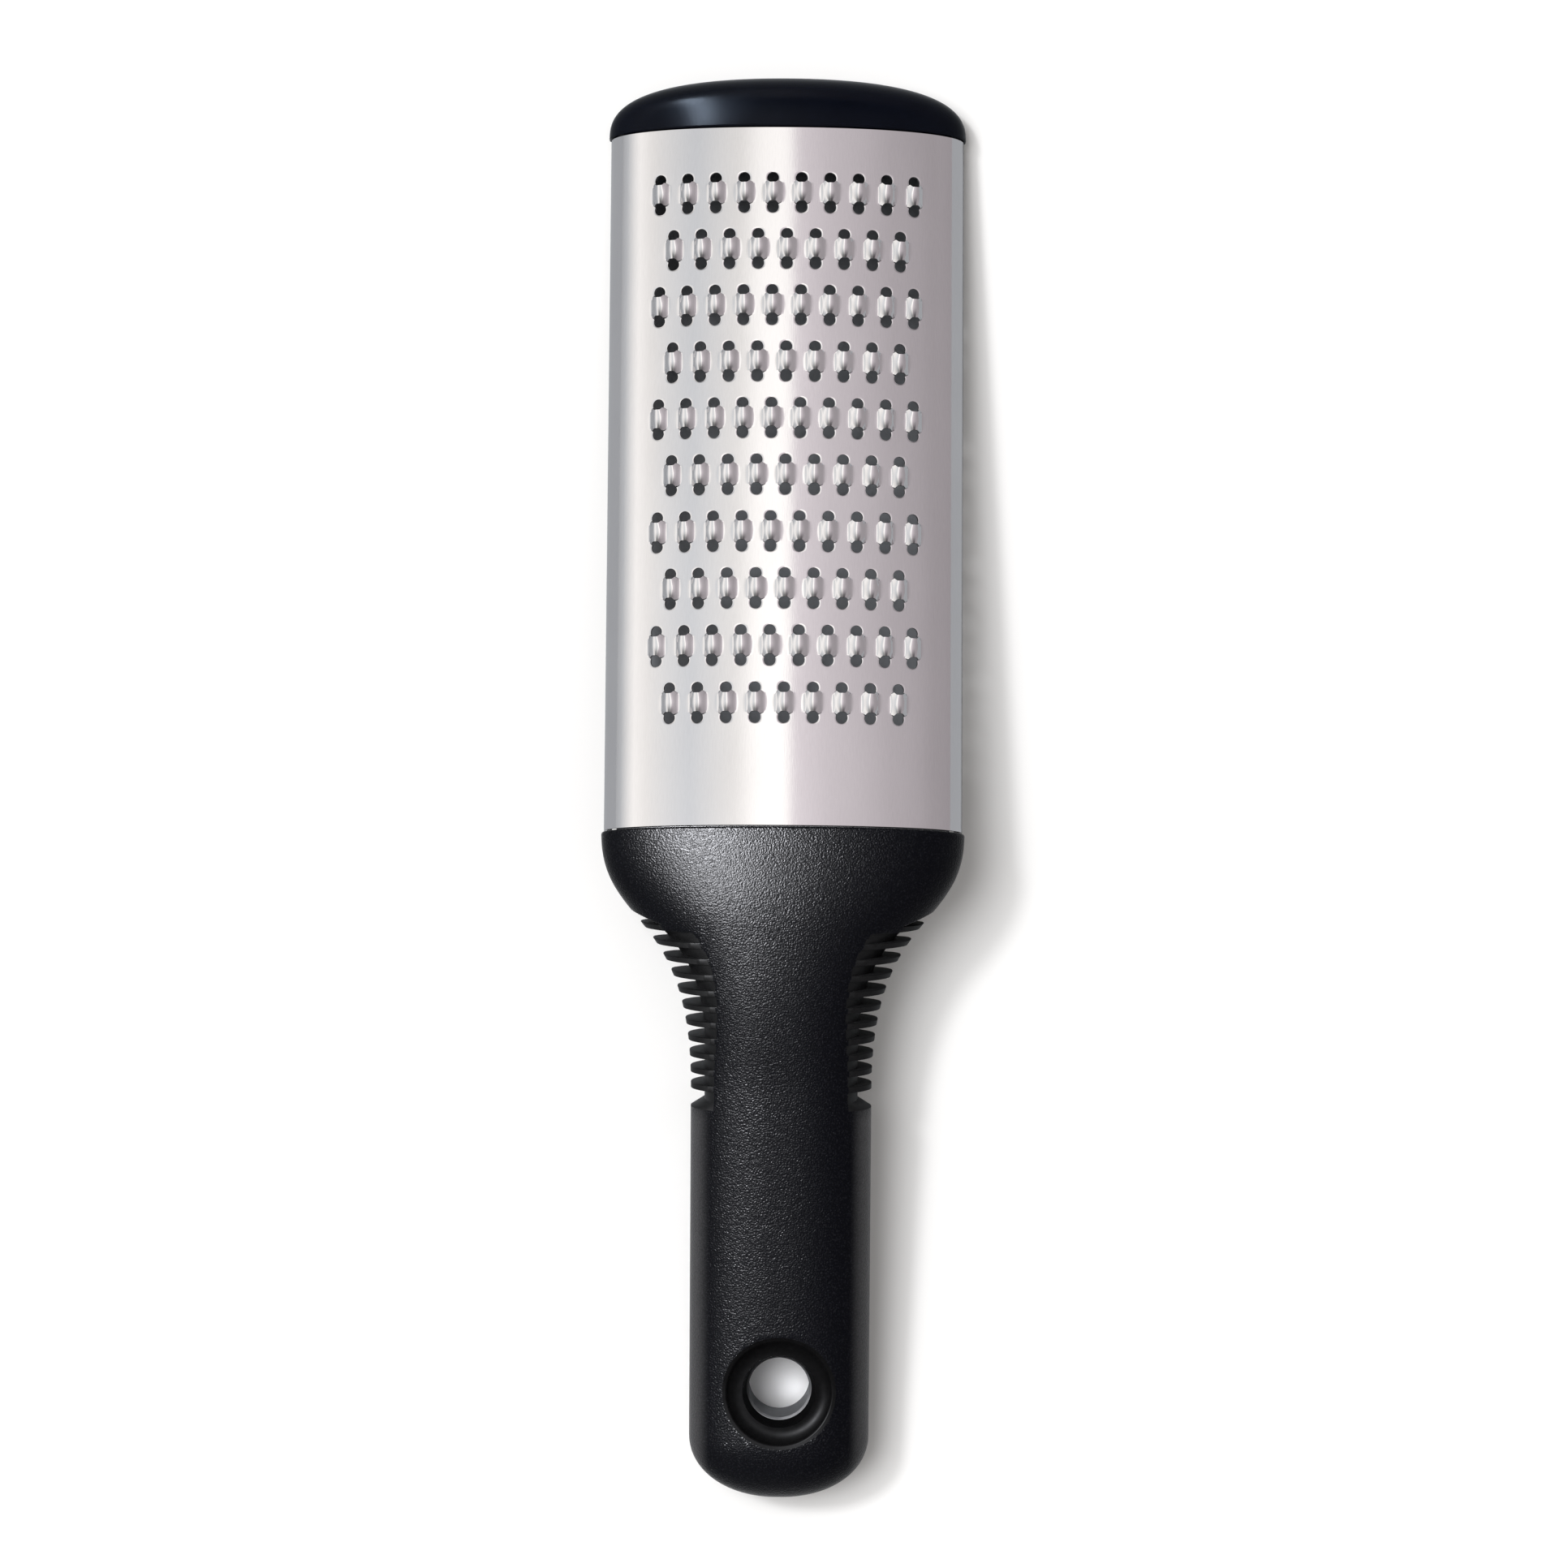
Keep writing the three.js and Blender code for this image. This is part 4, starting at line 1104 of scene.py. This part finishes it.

# %% [markdown]
# ## Grained and smooth grip
# The grip is soft black rubber. Most of it carries a fine spark-eroded grain, which is a bump about a
# third of a millimetre across. Its colour has lighter flecks, partly grain tone and partly painted glints
# of the grain. The fins and the dish are left smooth, so they get plainer finishes with only a faint
# unevenness. The dish is the duller of the two. The sides of the straight grip are painted paler, a
# painted sheen for the reflection at the grip's edges.

# %% Grip finishes
SHEEN_BAND_FROM, SHEEN_BAND_TO, SHEEN_BAND_START, SHEEN_BAND_FULL = 13.5, 17.0, -60, -66
grained, smooth_grip, dish_grip = grip.data.materials
bare, shader = new_finish(grained, Specular_IOR_Level=0.04, Sheen_Weight=0.15, Sheen_Roughness=0.35)
place = stretched(bare)
sparks = noise(bare, place, 3200.0, 0.6, 0.6)
# Lighter flecks on the grain: partly grain tone, partly painted glints of the grain catching the light.
grain_tone_and_glint_flecks = sparks.clipped(0.5, 0.8).blend((0.0006, 0.0008, 0.0022, 1), (0.0076, 0.008, 0.0108, 1))
across, along = bare.parts(place)[:2]
# Painted sheen: the sides of the straight grip are painted paler, for the reflection at its edges.
painted_edge_sheen = across.math("ABSOLUTE", across).clipped(SHEEN_BAND_FROM * MM, SHEEN_BAND_TO * MM) * (0.6 + sparks * 0.8)
towards_heel = along.clipped(SHEEN_BAND_START * MM, SHEEN_BAND_FULL * MM)
colour = (painted_edge_sheen * towards_heel).blend(grain_tone_and_glint_flecks, (0.055, 0.055, 0.058, 1))
plug_in(shader, Base_Color=colour, Roughness=0.26 + sparks * 0.12)
bump_up(bare, shader, 1.0, 0.1, sparks)

for finish, gloss in ((smooth_grip, 0.08), (dish_grip, 0.01)):
    bare, shader = new_finish(finish, Specular_IOR_Level=gloss)
    cloud = noise(bare, stretched(bare), 900.0, 2.0)
    colour = cloud.blend((0.002, 0.002, 0.0022, 1), (0.005, 0.005, 0.0054, 1))
    plug_in(shader, Base_Color=colour, Roughness=0.36 + cloud * 0.12)
    bump_up(bare, shader, 0.1, 0.05, cloud)
print("grip finishes:", [finish.name for finish in grip.data.materials])

# %% [markdown]
# ## Core and foot finishes
# The core is a satin dark plastic, a little greyer than the grip. The foot is a matt rubber with a dusty
# mottle.

# %% Core and foot finishes
core_finish = bpy.data.materials.new("core_satin")
bare, shader = new_finish(core_finish, IOR=1.48)
cloud = noise(bare, stretched(bare), 700.0, 3.0)
colour = cloud.blend((0.02, 0.021, 0.023, 1), (0.034, 0.035, 0.038, 1))
plug_in(shader, Base_Color=colour, Roughness=0.4 + cloud * 0.15)
bump_up(bare, shader, 0.12, 0.05, cloud)
core.data.materials.append(core_finish)

foot_finish = bpy.data.materials.new("foot_matt")
bare, shader = new_finish(foot_finish, IOR=1.42)
cloud = noise(bare, stretched(bare), 1500.0, 4.0)
colour = cloud.blend((0.012, 0.012, 0.013, 1), (0.026, 0.026, 0.028, 1))
plug_in(shader, Base_Color=colour, Roughness=0.75 + cloud * 0.2)
bump_up(bare, shader, 0.3, 0.1, cloud)
foot.data.materials.append(foot_finish)
print("core and foot are finished")

# %% [markdown]
# ## Table
# The grater lies on a white table that runs out to the horizon: a large disc with a plain white matt
# finish. In reflections the table is shown greyer, because a real studio table is small and dark beyond
# its edge. Under the head the table is painted grey, a painted shadow of the head that darkens the view
# through the teeth's holes. The painted shadow gets darker towards the cap, and the head hides its soft
# edge.

# %% Table
TABLE_RADIUS, TABLE_SIDES, TABLE_HEIGHT = 4.0, 96, -0.05
# Painted shadow: a grey patch on the table under the head, darker towards the cap.
SHADE_HALF_WIDTH, SHADE_FROM, SHADE_TO, SHADE_FADE = 33, -4, 132, 6
SHADE_DEEPENS, SHADE_DEEPEST = 60, 130
bpy.ops.mesh.primitive_circle_add(
    vertices=TABLE_SIDES, radius=TABLE_RADIUS, fill_type="NGON", location=(0, 0, TABLE_HEIGHT * MM)
)
table = bpy.context.object
table.name = "white_table"
table_finish = bpy.data.materials.new("table_white")
bare = emptied(table_finish)
white = bare.add("ShaderNodeBsdfDiffuse", None, {"Color": (0.93, 0.93, 0.93, 1)})
across, along = bare.parts(stretched(bare))[:2]
# Mask of the painted shadow under the head, with soft edges that the head hides.
painted_shade_mask = across.math("ABSOLUTE", across).clipped(SHADE_HALF_WIDTH * MM, (SHADE_HALF_WIDTH - SHADE_FADE) * MM)
painted_shade_mask = painted_shade_mask * along.clipped(SHADE_FROM * MM, (SHADE_FROM + SHADE_FADE) * MM)
painted_shade_mask = painted_shade_mask * along.clipped(SHADE_TO * MM, (SHADE_TO - SHADE_FADE) * MM)
shade_towards_cap = along.clipped(SHADE_DEEPENS * MM, SHADE_DEEPEST * MM)
shade = shade_towards_cap.blend((0.46, 0.485, 0.525, 1), (0.2, 0.21, 0.23, 1))
painted_shade = bare.add("ShaderNodeBsdfDiffuse", None, {"Color": shade})
surface = bare.add("ShaderNodeMixShader", None, {0: painted_shade_mask, 1: white, 2: painted_shade})
grey = bare.add("ShaderNodeBsdfDiffuse", None, {"Color": (0.42, 0.44, 0.46, 1)})
glossy_ray = bare.add("ShaderNodeLightPath", out=3)
shown = bare.add("ShaderNodeMixShader", None, {0: glossy_ray, 1: surface, 2: grey})
bare.add("ShaderNodeOutputMaterial", None, {"Surface": shown})
table.data.materials.append(table_finish)
print("table radius in m:", TABLE_RADIUS)

# %% [markdown]
# ## Lamps
# A large soft window stands high on the left and a little towards the cap. It gives the table its light
# and the grater its soft shadow. A smaller, clear pane beside it gives the shadow its far edge. Both are
# suns, so the table is lit evenly. More lamps only make the sheen on the mouldings, as the bright panes
# of a window do: one on the grip, a near spot on its neck, and a row of nine that draws a streak over the
# cap. Light linking keeps them off the steel, where the room below takes over.

# %% Lamps
GRIP_TINT, CAP_TINT = (0.94, 0.95, 1.0), (0.66, 0.8, 1.0)
CAP_LEAN = math.radians(21)
CAP_ANGLES = np.radians(np.linspace(24, 72, 9))
NECK_PLACE = Vector((0, -21, 31))
NECK_DIRECTION = Vector((-0.42, -0.15, 1.0))
NECK_REACH = 300
SPOT_SIZE = 12


def lamp_from(name, direction, energy, spread, kind="SUN"):
    """A sun or a spot that shines from a direction, with its spread in degrees."""
    lamp = bpy.data.lights.new(name, kind)
    lamp.energy = energy
    if kind == "SUN":
        lamp.angle = math.radians(spread)
    else:
        lamp.spot_size = math.radians(spread)
        lamp.spot_blend = 1.0
        lamp.shadow_soft_size = SPOT_SIZE * MM
    made = bpy.data.objects.new(name, lamp)
    made.rotation_euler = Vector(direction).to_track_quat("Z", "Y").to_euler()
    scene.collection.objects.link(made)
    return made


def sheen_only(lamp, pieces, tint):
    """Lets a lamp show only as a sheen on the given pieces."""
    lamp.data.color = tint
    lamp.visible_diffuse = False
    lit = bpy.data.collections.new(f"{lamp.name}_only")
    for piece in pieces:
        lit.objects.link(piece)
    lamp.light_linking.receiver_collection = lit


for lamp in (
    lamp_from("soft_window", (-0.42, 0.17, 1.0), 1.95, 36),
    lamp_from("clear_pane", (-0.58, 0.35, 1.0), 0.8, 8),
):
    lamp.visible_glossy = False
grip_glint = lamp_from("grip_glint", (-0.42, 0.35, 1.0), 62.0, 14)
sheen_only(grip_glint, [grip, core, foot], GRIP_TINT)
neck_glint = lamp_from("neck_glint", NECK_DIRECTION, 40.0, 11, "SPOT")
neck_glint.location = (NECK_PLACE + NECK_DIRECTION.normalized() * NECK_REACH) * MM
sheen_only(neck_glint, [grip], GRIP_TINT)
for k, angle in enumerate(CAP_ANGLES):
    streak = (-math.tan(CAP_LEAN), math.sin(angle), math.cos(angle))
    sheen_only(lamp_from(f"cap_glint_{k}", streak, 0.85, 8), [cap], CAP_TINT)

# %% [markdown]
# ## The room in reflections
# Polished steel shows nothing but its surroundings, so the room is what makes it look like steel. The
# room is painted by direction. An angle across the blade, counted from straight up, picks a grey from a
# ramp, so every stop is a place in the room: dark table edge on the left, window, ceiling, white strip
# overhead, ceiling, dim wall on the right. High up towards the cap the room is dark, and lower down it is
# pale again. Matt surfaces get a plain grey sky instead, and the camera sees white.

# %% Room
COOL, WARM, MAUVE = (0.95, 0.98, 1.0), (1.0, 0.985, 0.95), (1.0, 0.93, 0.96)
ROOM_STOPS = [
    (-90, 0.6, COOL), (-79, 0.75, COOL), (-60, 1.4, WARM), (-48, 1.25, WARM), (-25, 1.02, COOL),
    (-11, 1.25, WARM), (-5.5, 1.65, WARM), (0.5, 1.75, WARM), (1.7, 1.1, MAUVE), (10, 0.9, MAUVE),
    (30, 0.66, MAUVE), (60, 0.5, MAUVE), (90, 0.46, MAUVE),
]
ROOM_LEVEL, AMBIENT_LEVEL = 2.0, 0.42
AMBIENT_TINT = (1.0, 0.97, 0.945, 1)
DIM_SHARE = 0.92
DIM_ANGLES = np.radians((10, 55)).tolist()
DIM_HEIGHTS = (0.35, 0.6)
world = bpy.data.worlds.new("studio_room")
scene.world = world
bare = emptied(world)
across, along, upward = bare.parts(bare.add("ShaderNodeTexCoord", out=0))
lean = across.math("ARCTAN2", across, upward)
stops = [
    ((angle + 90) / 180, [part * level / ROOM_LEVEL for part in tint])
    for angle, level, tint in ROOM_STOPS
]
ramp = bare.add("ShaderNodeValToRGB", {"stops": stops}, {0: lean * (1 / math.pi) + 0.5})
forward = along.math("ARCSINE", along)
dimmed = 1 - DIM_SHARE * forward.clipped(*DIM_ANGLES) * upward.clipped(*DIM_HEIGHTS)
reflected = bare.add("ShaderNodeBackground", None, {"Color": ramp, "Strength": dimmed * ROOM_LEVEL})
ambient = bare.add("ShaderNodeBackground", None, {"Color": AMBIENT_TINT, "Strength": AMBIENT_LEVEL})
backdrop = bare.add("ShaderNodeBackground", None, {"Color": (1, 1, 1, 1), "Strength": 1.0})
camera_ray = bare.add("ShaderNodeLightPath", out=0)
glossy_ray = bare.add("ShaderNodeLightPath", out=3)
in_mirror = bare.add("ShaderNodeMixShader", None, {0: glossy_ray, 1: ambient, 2: reflected})
whole = bare.add("ShaderNodeMixShader", None, {0: camera_ray, 1: in_mirror, 2: backdrop})
bare.add("ShaderNodeOutputWorld", None, {"Surface": whole})
scene.view_settings.view_transform = "Standard"
print("room has", len(ROOM_STOPS), "stops")
